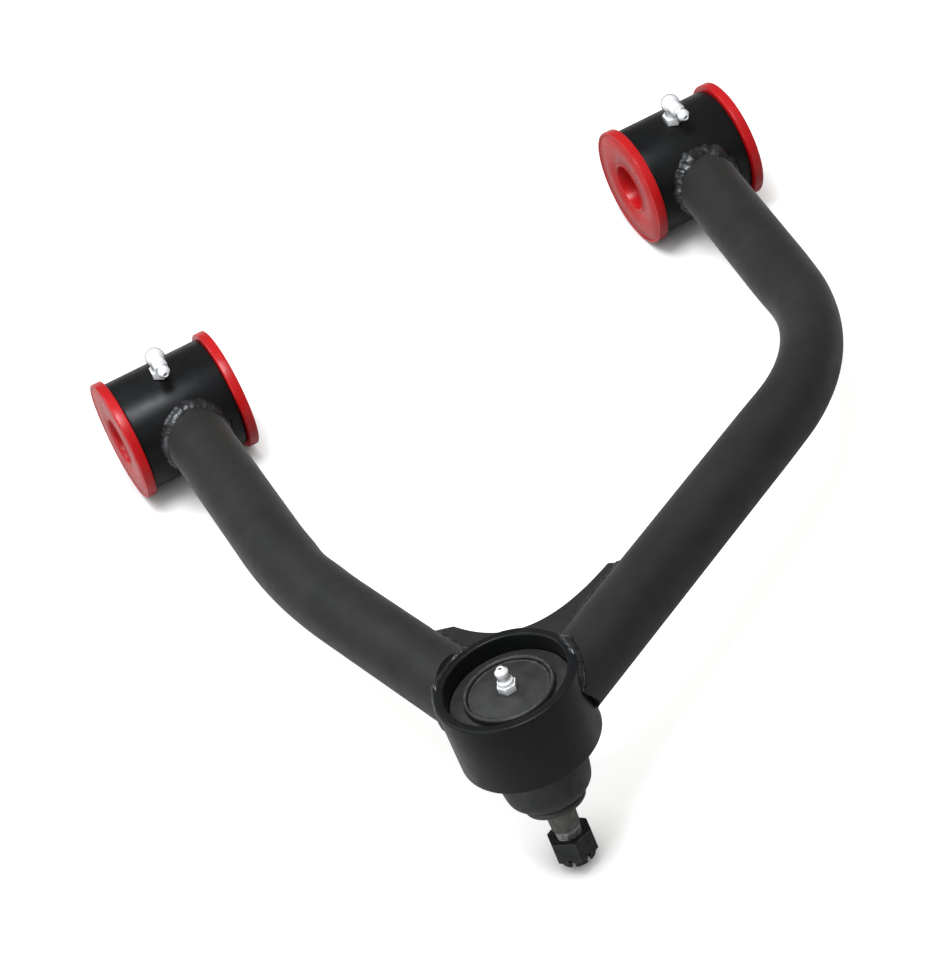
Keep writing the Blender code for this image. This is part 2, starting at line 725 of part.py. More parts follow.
def build_boot_ring_lower(frame):
    """Ring that presses the boot's mouth onto the stud."""
    inner = BOOT_OUTLINE[-2][1] + GAP
    high = -BOOT_OUTLINE[-2][0] - GAP
    low = -BOOT_OUTLINE[-1][0]
    outline = (
        (inner, low),
        (BOOT_RING_RADIUS - 0.0016, low),
        (BOOT_RING_RADIUS - 0.0003, low + 0.0010),
        (BOOT_RING_RADIUS, high - 0.0008),
        (BOOT_RING_RADIUS - 0.0006, high),
        (inner, high),
    )
    return make_object("boot_ring_lower", lathe(outline, SMALL_FACETS), DARK_STEEL, frame)


# Grease fittings


def nozzle_outline(root, tip):
    """Outline of the nozzle from its root to its mouth, as (radius, distance)."""
    return [
        (0.0, root),
        (NOZZLE_COLLAR_RADIUS, root),
        (NOZZLE_COLLAR_RADIUS, tip - 0.0070),
        (NOZZLE_NECK_RADIUS, tip - 0.0062),
        (NOZZLE_NECK_RADIUS, tip - 0.0048),
        (NOZZLE_HEAD_RADIUS, tip - 0.0038),
        (NOZZLE_HEAD_RADIUS, tip - 0.0020),
        (NOZZLE_TIP_RADIUS, tip),
        (0.0, tip),
    ]


def passage_outline(root, tip):
    """Grease passage behind the mouth: the check ball's seat, its spring's bore, then a plain drilling."""
    return [
        (0.0, root),
        (NOZZLE_MOUTH_RADIUS, root),
        (NOZZLE_MOUTH_RADIUS, tip - 0.0062),
        (CHECK_BORE, tip - 0.0062),
        (CHECK_BORE, tip - 0.0012),
        (NOZZLE_MOUTH_RADIUS, tip - 0.0004),
        (NOZZLE_MOUTH_RADIUS, tip + 0.0010),
        (0.0, tip + 0.0010),
    ]


def hexagon(flats, low, high):
    radius = flats / 2 / math.cos(math.pi / 6)
    return lathe(((0.0, low), (radius, low), (radius, high), (0.0, high)), 6)


def build_elbow_fitting(name, frame, nozzle_frame):
    """Hexagon, ball-shaped elbow and nozzle, drilled through; start angles keep the facets apart."""
    shank_end = -ELBOW_SHANK_DEPTH
    stem = [(0.0, shank_end), (FITTING_SHANK_RADIUS, shank_end), (FITTING_SHANK_RADIUS, 0.0005)]
    stem += [(ELBOW_NECK_RADIUS, 0.0005), (ELBOW_NECK_RADIUS, ELBOW_HEIGHT - ELBOW_NECK_RADIUS)]
    stem += arc(0.0, ELBOW_HEIGHT, ELBOW_RADIUS, -44.9, 90.0, 6)
    stem[-1] = (0.0, ELBOW_HEIGHT + ELBOW_RADIUS)
    fitting = make_object(name, lathe(stem, FINE_FACETS), ZINC, frame)

    def helper(label, bm, parent):
        return hide_as_cutter(make_object(f"{label}_of_{name}", bm, None, parent))

    low = shank_end - 0.001
    high = ELBOW_HEIGHT + 0.00035
    drilling_outline = ((0.0, low), (DRILLING_RADIUS, low), (DRILLING_RADIUS, high), (0.0, high))
    base = helper("hexagon", hexagon(FITTING_HEX_FLATS, 0.0, FITTING_HEX_HEIGHT), frame)
    nozzle = lathe(nozzle_outline(0.0020, NOZZLE_REACH), FINE_FACETS, math.radians(4))
    passage = lathe(passage_outline(0.0003, NOZZLE_REACH), FINE_FACETS, math.radians(5))
    drilling = helper("drilling", lathe(drilling_outline, FINE_FACETS, math.radians(7)), frame)
    boolean(fitting, base, "UNION")
    boolean(fitting, helper("nozzle", nozzle, nozzle_frame), "UNION")
    boolean(drilling, helper("passage", passage, nozzle_frame), "UNION")
    boolean(fitting, drilling)


def build_straight_fitting(name, frame, tip):
    """Hexagon and nozzle in one line, with the passage as the inner side of the turned outline."""
    shank_end = -STRAIGHT_SHANK_DEPTH
    outside = [(NOZZLE_MOUTH_RADIUS, shank_end), (FITTING_SHANK_RADIUS, shank_end)]
    outside += [(FITTING_SHANK_RADIUS, 0.0005)] + nozzle_outline(0.0005, tip)[1:-1]
    inside = [point for point in passage_outline(0.0, tip)[::-1] if point[0] > 0.0 and point[1] < tip]
    outline = outside + [(NOZZLE_MOUTH_RADIUS, tip)] + inside[:-1]
    fitting = make_object(name, lathe(outline, FINE_FACETS), ZINC, frame)
    low = 0.0
    high = STRAIGHT_HEX_HEIGHT
    radius = STRAIGHT_HEX_RADIUS
    hex_outline = ((CHECK_BORE, low), (radius, low), (radius, high), (CHECK_BORE, high))
    hex_part = hide_as_cutter(make_object(f"hexagon_of_{name}", lathe(hex_outline, 6), None, frame))
    boolean(fitting, hex_part, "UNION")


def build_check_valve(label, frame, tip):
    """Ball just behind the nozzle's mouth, on a coil spring."""
    ball_bm = bmesh.new()
    bmesh.ops.create_icosphere(ball_bm, subdivisions=2, radius=CHECK_BALL_RADIUS)
    ball = make_object(f"check_ball_{label}", ball_bm, STEEL, frame)
    ball.location = (0, 0, tip - CHECK_BALL_DEPTH)
    low = tip - 0.0060
    high = tip - 0.0028
    steps_per_turn = 8
    total = CHECK_SPRING_TURNS * steps_per_turn
    wire = CHECK_SPRING_WIRE_RADIUS
    up = Vector((0, 0, 1))
    bm = bmesh.new()
    rings = []
    for i in range(total + 1):
        angle = math.tau * i / steps_per_turn
        radial = Vector((math.cos(angle), math.sin(angle), 0))
        middle = radial * CHECK_SPRING_COIL_RADIUS + up * (low + (high - low) * i / total)
        corners = [middle + radial * wire, middle + up * wire, middle - radial * wire, middle - up * wire]
        rings.append([bm.verts.new(corner) for corner in corners])
    for first, second in zip(rings, rings[1:]):
        join_rings(bm, first, second)
    bm.faces.new(rings[0])
    bm.faces.new(rings[-1])
    make_object(f"check_spring_{label}", bm, STEEL, frame)


def build_barrel_fitting(label, side):
    base_matrix = barrel_fitting_matrix(side)
    base = make_frame(f"frame_fitting_{label}", base_matrix)
    elbow = base_matrix @ Vector((0, 0, ELBOW_HEIGHT))
    forward = base_matrix.to_3x3() @ Vector((1, 0, 0))
    nozzle = make_frame(f"frame_nozzle_{label}", axis_matrix(elbow, forward, (0, 0, 1)))
    build_elbow_fitting(f"grease_fitting_{label}", base, nozzle)
    build_check_valve(label, nozzle, NOZZLE_REACH)


def build_ball_joint_fitting(cup_frame):
    seat = cup_frame.matrix_world @ Vector((0, 0, -COVER_DEPTH + GAP))
    axis = cup_frame.matrix_world.to_3x3() @ Vector((0, 0, 1))
    frame = make_frame("frame_fitting_ball_joint", axis_matrix(seat, axis))
    build_straight_fitting("grease_fitting_ball_joint", frame, STRAIGHT_TIP)
    build_check_valve("ball_joint", frame, STRAIGHT_TIP)


def build_pivots(barrel_frames):
    for label, side in SIDES.items():
        frame = barrel_frames[label]
        build_barrel(f"barrel_{label}", frame)
        build_bushing(f"bushing_{label}_left", -1, frame)
        build_bushing(f"bushing_{label}_right", 1, frame)
        build_sleeve(f"sleeve_{label}", frame)
        build_barrel_fitting(label, side)


def build_ball_joint(cup_frame, stud_frame):
    build_housing(cup_frame)
    build_cover(cup_frame)
    build_pressure_spring(cup_frame)
    build_bearing_upper(cup_frame)
    build_bearing_lower(cup_frame)
    build_boot_ring_upper(cup_frame)
    build_boot(cup_frame, stud_frame)
    build_boot_ring_lower(stud_frame)
    build_stud(stud_frame)
    build_castle_nut(stud_frame)
    build_ball_joint_fitting(cup_frame)


clear_scene()

PAINT = material("black_powder_coat", (0.020, 0.021, 0.021), 0.42, 0.0)
RED_POLYURETHANE = material("red_polyurethane", (0.62, 0.012, 0.020), 0.38, 0.0)
DARK_PLATE = material("dark_plate", (0.035, 0.036, 0.036), 0.50, 0.3)
ZINC = material("zinc_plate", (0.75, 0.76, 0.77), 0.20, 1.0)
STEEL = material("steel", (0.50, 0.50, 0.51), 0.30, 1.0)
DARK_STEEL = material("dark_steel", (0.050, 0.051, 0.052), 0.45, 0.7)
NYLON = material("nylon", (0.75, 0.73, 0.66), 0.50, 0.0)
RUBBER = material("rubber", (0.014, 0.015, 0.015), 0.55, 0.0)

arm_frame = make_frame("frame_arm_plane", arm_matrix())
cup_frame = make_frame("frame_cup", cup_matrix())
stud_frame = make_frame("frame_stud", stud_matrix())
barrel_frames = {}
for label, side in SIDES.items():
    barrel_frames[label] = make_frame(f"frame_barrel_{label}", barrel_matrix(side))
bpy.context.view_layer.update()

build_pivots(barrel_frames)
build_arm(arm_frame, cup_frame, barrel_frames)
build_ball_joint(cup_frame, stud_frame)
bpy.context.view_layer.update()
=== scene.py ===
"""Looks of the tubular control arm: fine meshes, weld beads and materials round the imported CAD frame.

Coordinates are metres in the row frame. Points in the arm's plane are listed as (along, outboard, height),
and plane_point() turns outboard into -Y.
"""

import math

import bmesh
import bpy
from mathutils import Matrix, Vector, noise


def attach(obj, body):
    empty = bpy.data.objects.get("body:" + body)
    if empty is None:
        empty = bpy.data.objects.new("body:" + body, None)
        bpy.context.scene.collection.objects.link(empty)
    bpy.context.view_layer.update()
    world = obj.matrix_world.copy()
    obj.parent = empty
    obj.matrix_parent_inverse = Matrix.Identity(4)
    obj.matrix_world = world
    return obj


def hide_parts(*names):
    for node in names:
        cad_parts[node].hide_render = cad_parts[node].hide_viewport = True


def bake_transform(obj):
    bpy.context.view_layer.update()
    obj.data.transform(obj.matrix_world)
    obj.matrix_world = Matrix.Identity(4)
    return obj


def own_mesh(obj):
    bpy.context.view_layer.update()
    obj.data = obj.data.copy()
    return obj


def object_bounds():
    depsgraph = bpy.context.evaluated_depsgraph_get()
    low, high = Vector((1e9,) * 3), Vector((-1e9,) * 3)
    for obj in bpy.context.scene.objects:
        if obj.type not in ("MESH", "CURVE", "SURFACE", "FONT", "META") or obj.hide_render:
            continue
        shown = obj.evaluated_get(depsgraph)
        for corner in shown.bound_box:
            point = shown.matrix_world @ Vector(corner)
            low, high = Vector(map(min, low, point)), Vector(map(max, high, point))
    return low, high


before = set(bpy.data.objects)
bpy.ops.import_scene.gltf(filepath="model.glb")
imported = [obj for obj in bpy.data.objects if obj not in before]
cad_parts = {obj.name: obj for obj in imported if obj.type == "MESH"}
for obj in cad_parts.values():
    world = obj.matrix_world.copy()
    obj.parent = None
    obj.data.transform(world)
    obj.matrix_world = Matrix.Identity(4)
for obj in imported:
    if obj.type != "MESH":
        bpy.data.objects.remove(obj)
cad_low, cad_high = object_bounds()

GAP = 0.0003
FLOOR_GAP = 0.0002
FLOOR_REACH = 6.0
FLOOR_LIFT = 0.72
# How far the painted contact shadow on the floor reaches round the part
CONTACT_SHADOW_REACH = 0.024

# Frame of the arm
PIVOT_POINT = Vector((0.0, 0.1600, 0.03175))
PIVOT_SPREAD = 0.2992
ARM_TILT = math.radians(9.5)
SIDES = {"front": -1, "rear": 1}

# Pivot ends
BARREL_LENGTH = 0.0523
BARREL_RADIUS = 0.0292
BARREL_BORE = 0.0254
FLANGE_RADIUS = 0.03175
FLANGE_THICKNESS = 0.0052
BUSHING_BORE = 0.0122
BORE_LIP_RADIUS = 0.0138
GREASE_SPACE = 0.0030
SLEEVE_BORE = 0.0071
SLEEVE_LENGTH = 0.0420

# Bent tubes: outside radius, wall, and for each tube its line, bend radius, flattening in the bend,
# how far from the bend's middle the flattening reaches, and how much of it moves to the bend's inside
TUBE_RADIUS = 0.01635
TUBE_WALL = 0.0032
STATION_SPACING = 0.003
TUBES = {
    "front": (((-0.1472, 0.0), (-0.1535, 0.1708), (-0.1218, 0.3216)), 0.298, 0.030, 0.018, 1.0),
    "rear": (((0.1538, 0.0), (0.1264, 0.1995), (-0.0877, 0.3244)), 0.114, 0.076, 0.074, 0.0),
}

# How far the top of each tube's end laps over the cup's flank
TUBE_LIP = {"front": 0.0, "rear": 0.0090}

# Weld beads: distance between puddles, and the unevenness of the beads round the barrels
WELD_PITCH = 0.0026
SEAM_SPACING = 0.0006
WELD_LUMPS = {"front": 0.10, "rear": 0.55}

# Cup, with depths measured down from its top face
CUP_TOP = (-0.1128, 0.3191, 0.01525)
CUP_AXIS = (-0.066, 0.033, 1.0)
CUP_RADIUS = 0.03275
CUP_RECESS_RADIUS = 0.02825
CUP_BORE = 0.0250
CUP_HEIGHT = 0.0379
LEDGE_DEPTH = 0.0088
LEDGE_THICKNESS = 0.0032
LIP_RADIUS = 0.0210
LIP_DEPTH = 0.0051
LIP_WIDTH = 0.0020
COVER_DEPTH = 0.0062
COVER_THICKNESS = 0.0020
BALL_DEPTH = 0.0245
BALL_RADIUS = 0.0125
HOUSING_BORE = 0.0185
HOUSING_NECK_RADIUS = 0.0172
HOUSING_MOUTH_RADIUS = 0.0125
HOUSING_FLOOR = 0.0088
HOUSING_SHOULDER = 0.0087
HOUSING_END = 0.0120
STUD_LEAN_POINT = (-0.1095, 0.3333, -0.0854)

# Stud, nut and boot, with distances measured from the ball's centre
NECK_RADIUS = 0.0060
NECK_END = 0.0175
TAPER_START = 0.028
TAPER_END = 0.0592
TAPER_LARGE_RADIUS = 0.0078
TAPER_SMALL_RADIUS = 0.0066
THREAD_RADIUS = 0.0060
THREAD_START = TAPER_END + 0.0006
THREAD_PITCH = 0.00125
THREAD_DEPTH = 0.0007
STUD_END = 0.0772
NUT_SEAT = 0.0629
NUT_FLATS = 0.0190
NUT_HEX_HEIGHT = 0.0107
NUT_CROWN_HEIGHT = 0.0038
NUT_CROWN_RADIUS = 0.0081
NUT_SLOT_WIDTH = 0.0024
NUT_SLOT_OVERRUN = 0.0016
NUT_TURN = math.radians(18)
PIN_HOLE_RADIUS = 0.0011
PIN_HOLE_DROP = 0.0010
BOOT_OUTLINE = (
    (0.0106, 0.0206),
    (0.0160, 0.0214),
    (0.0250, 0.0214),
    (0.0320, 0.0206),
    (0.0370, 0.0194),
    (0.0400, 0.0168),
    (0.0414, 0.0140),
    (0.0417, 0.0122),
    (0.0458, 0.0120),
)
BOOT_WALL = 0.0022
BOOT_MOUTH_RADIUS = 0.0081
BOOT_MOUTH_START = 0.0385
BOOT_LEAN_END = 0.0400
BOOT_RING_RADIUS = 0.0142

# Gusset plate
GUSSET_TOP = 0.0080
GUSSET_THICKNESS = 0.0050
GUSSET_EDGE = ((-0.1125, 0.2627), (-0.0985, 0.2930), (-0.0740, 0.2925), (-0.0385, 0.2735))

# Grease fittings
FITTING_SHANK_RADIUS = 0.0029
FITTING_HEX_FLATS = 0.0090
FITTING_HEX_HEIGHT = 0.0040
ELBOW_RADIUS = 0.0051
ELBOW_HEIGHT = 0.0112
ELBOW_NECK_RADIUS = 0.0036
ELBOW_SHANK_DEPTH = 0.0038
NOZZLE_REACH = 0.0150
NOZZLE_COLLAR_RADIUS = 0.0037
NOZZLE_NECK_RADIUS = 0.0025
NOZZLE_HEAD_RADIUS = 0.00325
NOZZLE_MOUTH_RADIUS = 0.0008
CHECK_BORE = 0.0013
CHECK_SPRING_WIRE_RADIUS = 0.00013
CHECK_SPRING_COIL_RADIUS = 0.00085
CHECK_SPRING_TURNS = 4
STRAIGHT_TIP = 0.0122
STRAIGHT_SHANK_DEPTH = 0.0021
STRAIGHT_HEX_RADIUS = 0.0047
STRAIGHT_HEX_HEIGHT = 0.0035

# Facets round a full turn
FINE = 144
MEDIUM = 96
SMALL = 48

# Camera fitted to the photograph's outline
CAMERA_PLACE = (-0.390894, -1.052440, 1.177014)
CAMERA_FORWARD = (0.212395, 0.667291, -0.713871)
CAMERA_UP = (0.446619, 0.583483, 0.678291)
CAMERA_LENS = 121.76

# Edges sharper than this many degrees are not smoothed over
SHARP_ANGLE = 35.0


# Mesh helpers


def link(obj):
    bpy.context.scene.collection.objects.link(obj)
    return obj


def finish_mesh(name, bm, mat, matrix=None, sharp=SHARP_ANGLE):
    """One object from a bmesh, smooth shaded, with its matrix applied to the mesh."""
    bmesh.ops.recalc_face_normals(bm, faces=bm.faces)
    mesh = bpy.data.meshes.new(name)
    bm.to_mesh(mesh)
    bm.free()
    if matrix:
        mesh.transform(matrix)
    mesh.shade_smooth()
    mesh.set_sharp_from_angle(angle=math.radians(sharp))
    if mat:
        mesh.materials.append(mat)
    return link(bpy.data.objects.new(name, mesh))


def apply_modifiers(obj):
    """Makes the evaluated mesh the object's own mesh."""
    graph = bpy.context.evaluated_depsgraph_get()
    mesh = bpy.data.meshes.new_from_object(obj.evaluated_get(graph), depsgraph=graph)
    obj.modifiers.clear()
    obj.data = mesh
    mesh.shade_smooth()
    mesh.set_sharp_from_angle(angle=math.radians(SHARP_ANGLE))
    return obj


def bevel(obj, width, segments=3, angle=30.0):
    modifier = obj.modifiers.new("bevel", "BEVEL")
    modifier.width = width
    modifier.segments = segments
    modifier.limit_method = "ANGLE"
    modifier.angle_limit = math.radians(angle)
    return apply_modifiers(obj)


def boolean(obj, cutter, operation="DIFFERENCE"):
    """Applies one Boolean between closed meshes and removes the cutter."""
    modifier = obj.modifiers.new("boolean", "BOOLEAN")
    modifier.operation = operation
    modifier.solver = "MANIFOLD"
    modifier.object = cutter
    bpy.context.view_layer.update()
    apply_modifiers(obj)
    bpy.data.objects.remove(cutter, do_unlink=True)
    return obj


def lathe(outline, facets, start_angle=0.0):
    """Spins a closed outline of (radius, height) points about Z."""
    bm = bmesh.new()
    turn = Matrix.Rotation(start_angle, 3, "Z")
    verts = [bm.verts.new(turn @ Vector((radius, 0.0, height))) for radius, height in outline]
    pairs = zip(verts, verts[1:] + verts[:1])
    edges = [bm.edges.new(pair) for pair in pairs if any(vert.co.xy.length > 0 for vert in pair)]
    bmesh.ops.spin(
        bm, geom=verts + edges, cent=(0, 0, 0), axis=(0, 0, 1), angle=math.tau, steps=facets, use_merge=True)
    bmesh.ops.remove_doubles(bm, verts=bm.verts, dist=1e-7)
    return bm


def arc(centre_radius, centre_height, radius, start, end, steps):
    """Points of a circular arc in an outline, with angles in degrees from the radial direction."""
    points = []
    for i in range(steps + 1):
        angle = math.radians(start + (end - start) * i / steps)
        points.append((centre_radius + radius * math.cos(angle), centre_height + radius * math.sin(angle)))
    return points


def rod(name, radius, length, facets, matrix):
    bm = bmesh.new()
    bmesh.ops.create_cone(bm, segments=facets, radius1=radius, radius2=radius, depth=length, cap_ends=True)
    return finish_mesh(name, bm, None, matrix)


def cylinder(name, radius, low, high, matrix):
    outline = ((0.0, low), (radius, low), (radius, high), (0.0, high))
    return finish_mesh(name, lathe(outline, FINE), None, matrix)


def ride(obj, body):
    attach(obj, body)


def axis_matrix(origin, axis, towards=(1.0, 0.0, 0.0)):
    """A frame at origin whose Z is axis and whose X leans to the direction towards."""
    z = Vector(axis).normalized()
    x = Vector(towards)
    x = (x - x.project(z)).normalized()
    y = z.cross(x)
    return Matrix.Translation(origin) @ Matrix((x, y, z)).transposed().to_4x4()


def join_rings(bm, first, second):
    count = len(first)
    for i in range(count):
        j = (i + 1) % count
        bm.faces.new((first[i], first[j], second[j], second[i]))


def smooth_step(t):
    t = min(1.0, max(0.0, t))
    return t * t * (3 - 2 * t)


# Frames


def plane_point(along, outboard, height=0.0):
    """A point in arm plane coordinates."""
    return Vector((along, -outboard, height))


UP = Vector((0, 0, 1))
ARM = Matrix.Translation(PIVOT_POINT) @ Matrix.Rotation(-ARM_TILT, 4, "X")
CUP_CENTRE = plane_point(*CUP_TOP)
CUP_DIRECTION = Vector(CUP_AXIS).normalized()
CUP = axis_matrix(ARM @ CUP_CENTRE, ARM.to_3x3() @ CUP_DIRECTION)
BALL_CENTRE = CUP @ Vector((0, 0, -BALL_DEPTH))
LEAN_POINT = ARM @ plane_point(*STUD_LEAN_POINT)
STUD = axis_matrix(BALL_CENTRE, BALL_CENTRE - LEAN_POINT)


def barrel_matrix(side):
    return axis_matrix(PIVOT_POINT + Vector((side * PIVOT_SPREAD / 2, 0, 0)), (1, 0, 0), (0, 0, 1))


def fitting_matrix(side):
    top = PIVOT_POINT + Vector((side * PIVOT_SPREAD / 2, 0, BARREL_RADIUS + GAP))
    return axis_matrix(top, (0, 0, 1), (side * 0.05, -1, 0))


# Materials


class Shader:
    """A Principled material with helpers for procedural inputs; textures use object coordinates in metres."""

    def __init__(self, name, colour, roughness, metallic=0.0, specular=0.5):
        self.material = bpy.data.materials.new(name)
        self.material.use_nodes = True
        self.tree = self.material.node_tree
        self.main = self.tree.nodes["Principled BSDF"]
        self.main.inputs["Base Color"].default_value = (*colour, 1)
        self.main.inputs["Roughness"].default_value = roughness
        self.main.inputs["Metallic"].default_value = metallic
        self.main.inputs["Specular IOR Level"].default_value = specular
        self.coords = self.tree.nodes.new("ShaderNodeTexCoord").outputs["Object"]

    def node(self, kind, inputs=None, **settings):
        made = self.tree.nodes.new(kind)
        for key, value in settings.items():
            setattr(made, key, value)
        for key, value in (inputs or {}).items():
            if isinstance(value, bpy.types.NodeSocket):
                self.tree.links.new(value, made.inputs[key])
            else:
                made.inputs[key].default_value = value
        return made

    def noise(self, scale, detail=3.0, roughness=0.5, stretch=(1, 1, 1)):
        mapping = self.node("ShaderNodeMapping", {"Vector": self.coords, "Scale": stretch})
        inputs = {"Vector": mapping.outputs[0], "Scale": scale, "Detail": detail, "Roughness": roughness}
        return self.node("ShaderNodeTexNoise", inputs).outputs["Fac"]

    def spread(self, value, low, high, to_low=0.0, to_high=1.0):
        inputs = {"Value": value, "From Min": low, "From Max": high, "To Min": to_low, "To Max": to_high}
        return self.node("ShaderNodeMapRange", inputs, clamp=True).outputs[0]

    def mix(self, factor, first, second):
        inputs = {0: factor, 6: first if not isinstance(first, tuple) else (*first, 1),
                  7: second if not isinstance(second, tuple) else (*second, 1)}
        return self.node("ShaderNodeMix", inputs, data_type="RGBA").outputs[2]

    def math(self, operation, first, second=0.0):
        return self.node("ShaderNodeMath", {0: first, 1: second}, operation=operation).outputs[0]

    def colour(self, socket):
        self.tree.links.new(socket, self.main.inputs["Base Color"])

    def patches(self, scale, detail, low, high, first, second):
        """Two colours in soft patches: the first where the noise is below low, the second above high."""
        return self.mix(self.spread(self.noise(scale, detail), low, high), first, second)

    def roughness(self, scale, detail, smoothest, roughest, low=0.3, high=0.7):
        """Roughness that varies as the noise goes from low to high."""
        uneven = self.spread(self.noise(scale, detail), low, high, smoothest, roughest)
        self.tree.links.new(uneven, self.main.inputs["Roughness"])

    def bump(self, height, distance, strength=1.0):
        previous = self.main.inputs["Normal"].links
        inputs = {"Height": height, "Distance": distance, "Strength": strength}
        if previous:
            inputs["Normal"] = previous[0].from_socket
        self.tree.links.new(self.node("ShaderNodeBump", inputs).outputs[0], self.main.inputs["Normal"])

    def edges(self, width):
        """1 near sharp edges and 0 on smooth surfaces, from how far a rounded normal leans away."""
        rounded = self.node("ShaderNodeBevel", {"Radius": width}, samples=4).outputs[0]
        normal = self.node("ShaderNodeNewGeometry").outputs["Normal"]
        dot = self.node("ShaderNodeVectorMath", {0: rounded, 1: normal}, operation="DOT_PRODUCT")
        return self.spread(dot.outputs["Value"], 0.99, 0.88)


def powder_coat(name, dark, light, roughness, specular, sheen, peel):
    shader = Shader(name, dark, roughness, specular=specular)
    base = shader.patches(45, 4, 0.35, 0.68, dark, light)
    # Lighter sharp edges: partly wear, partly a painted highlight along the edges
    wear_and_edge_highlight = shader.math("MULTIPLY", shader.edges(0.0008), shader.spread(shader.noise(260, 5), 0.38, 0.62))
    shader.colour(shader.mix(wear_and_edge_highlight, base, (0.085, 0.083, 0.078)))
    shader.roughness(120, 5, roughness - 0.06, roughness + 0.08)
    shader.bump(shader.noise(1500, 2, 0.4), peel, 0.5)
    shader.bump(shader.noise(140, 3), peel * 4, 0.25)
    shader.main.inputs["Sheen Weight"].default_value = sheen
    shader.main.inputs["Sheen Roughness"].default_value = 0.4
    shader.main.inputs["Sheen Tint"].default_value = (1.0, 0.98, 0.93, 1.0)
    return shader.material


def weld_coat():
    shader = Shader("weld_under_coat", (0.016, 0.017, 0.017), 0.30, specular=0.42)
    shader.colour(shader.patches(300, 4, 0.4, 0.62, (0.008, 0.0085, 0.009), (0.024, 0.024, 0.024)))
    shader.roughness(420, 4, 0.18, 0.38, 0.35, 0.65)
    shader.bump(shader.noise(520, 4, 0.6), 0.0003, 0.5)
    return shader.material


def red_polyurethane():
    shader = Shader("red_polyurethane", (0.52, 0.005, 0.007), 0.30, specular=0.34)
    shader.colour(shader.patches(55, 4, 0.3, 0.7, (0.47, 0.004, 0.006), (0.56, 0.008, 0.010)))
    shader.roughness(180, 4, 0.26, 0.36)
    shader.bump(shader.noise(300, 2), 0.00006, 0.10)
    return shader.material


def zinc_plate():
    shader = Shader("zinc_plate", (0.97, 0.97, 0.97), 0.15, metallic=0.12)
    plate = shader.patches(380, 4, 0.35, 0.65, (0.95, 0.95, 0.95), (1.0, 1.0, 0.99))
    # Darker towards the silhouettes: a painted reflection of the dark parts round the fittings
    facing = shader.node("ShaderNodeLayerWeight", {"Blend": 0.5}).outputs["Facing"]
    shader.colour(shader.mix(shader.spread(facing, 0.40, 0.85), plate, (0.15, 0.15, 0.14)))
    shader.roughness(900, 3, 0.12, 0.28)
    shader.bump(shader.noise(2600, 2), 0.00005, 0.4)
    shader.main.inputs["Coat Weight"].default_value = 1.0
    shader.main.inputs["Coat Roughness"].default_value = 0.06
    return shader.material


def dark_plate():
    shader = Shader("dark_plate", (0.030, 0.030, 0.028), 0.50, metallic=0.2, specular=0.35)
    base = shader.patches(160, 5, 0.35, 0.65, (0.024, 0.024, 0.023), (0.040, 0.039, 0.036))
    # Lighter sharp edges: partly wear, partly a painted highlight along the rolled lip
    wear_and_edge_highlight = shader.math("MULTIPLY", shader.edges(0.0010), shader.spread(shader.noise(420, 4), 0.42, 0.60))
    shader.colour(shader.mix(wear_and_edge_highlight, base, (0.13, 0.13, 0.12)))
    shader.roughness(260, 5, 0.42, 0.60)
    shader.bump(shader.noise(2200, 3), 0.00006, 0.5)
    return shader.material


def phosphate_steel(name, dark, light, roughness):
    shader = Shader(name, dark, roughness, metallic=0.55, specular=0.4)
    base = shader.patches(300, 5, 0.35, 0.65, dark, light)
    shader.colour(shader.mix(shader.edges(0.0005), base, (0.16, 0.155, 0.15)))
    shader.roughness(500, 4, roughness - 0.07, roughness + 0.10)
    shader.bump(shader.noise(2400, 3, 0.6), 0.00005, 0.5)
    return shader.material


def machined_steel(name, colour, roughness):
    shader = Shader(name, colour, roughness, metallic=1.0)
    bright = tuple(min(1.0, channel * 1.25) for channel in colour)
    shader.colour(shader.patches(500, 4, 0.35, 0.65, colour, bright))
    shader.roughness(800, 3, roughness - 0.08, roughness + 0.08)
    shader.bump(shader.noise(900, 2, 0.5, (1, 1, 8)), 0.00003, 0.6)
    return shader.material


def natural_nylon():
    shader = Shader("natural_nylon", (0.75, 0.73, 0.66), 0.45)
    shader.colour(shader.mix(shader.noise(120, 3), (0.70, 0.67, 0.58), (0.80, 0.78, 0.72)))
    shader.bump(shader.noise(900, 2), 0.00004, 0.4)
    return shader.material


def moulded_rubber(name, dark, light):
    shader = Shader(name, dark, 0.52, specular=0.40)
    shader.colour(shader.patches(110, 4, 0.3, 0.7, dark, light))
    shader.roughness(300, 4, 0.44, 0.62)
    shader.bump(shader.noise(1800, 3), 0.00008, 0.5)
    return shader.material


# One black coat made as two copies whose bases differ as painted light and shade: darker on the barrels and
# cup, lighter on the tubes and gusset
COAT = powder_coat(
    "black_powder_coat", (0.0042, 0.0046, 0.0050), (0.0080, 0.0082, 0.0080),
    roughness=0.34, specular=0.18, sheen=0.0, peel=0.00006)
TUBE_COAT = powder_coat(
    "satin_tube_coat", (0.0150, 0.0156, 0.0140), (0.0215, 0.0215, 0.0190),
    roughness=0.60, specular=0.20, sheen=0.13, peel=0.00008)
WELD = weld_coat()
RED = red_polyurethane()
ZINC = zinc_plate()
PLATE = dark_plate()
STUD_STEEL = phosphate_steel("stud_phosphate", (0.092, 0.087, 0.081), (0.140, 0.134, 0.125), 0.46)
NUT_STEEL = phosphate_steel("nut_phosphate", (0.018, 0.019, 0.019), (0.032, 0.033, 0.033), 0.50)
THREAD_STEEL = machined_steel("worn_thread", (0.33, 0.33, 0.33), 0.40)
STEEL = machined_steel("machined_steel", (0.50, 0.50, 0.51), 0.30)
NYLON = natural_nylon()
RUBBER = moulded_rubber("boot_rubber", (0.016, 0.017, 0.016), (0.034, 0.034, 0.031))
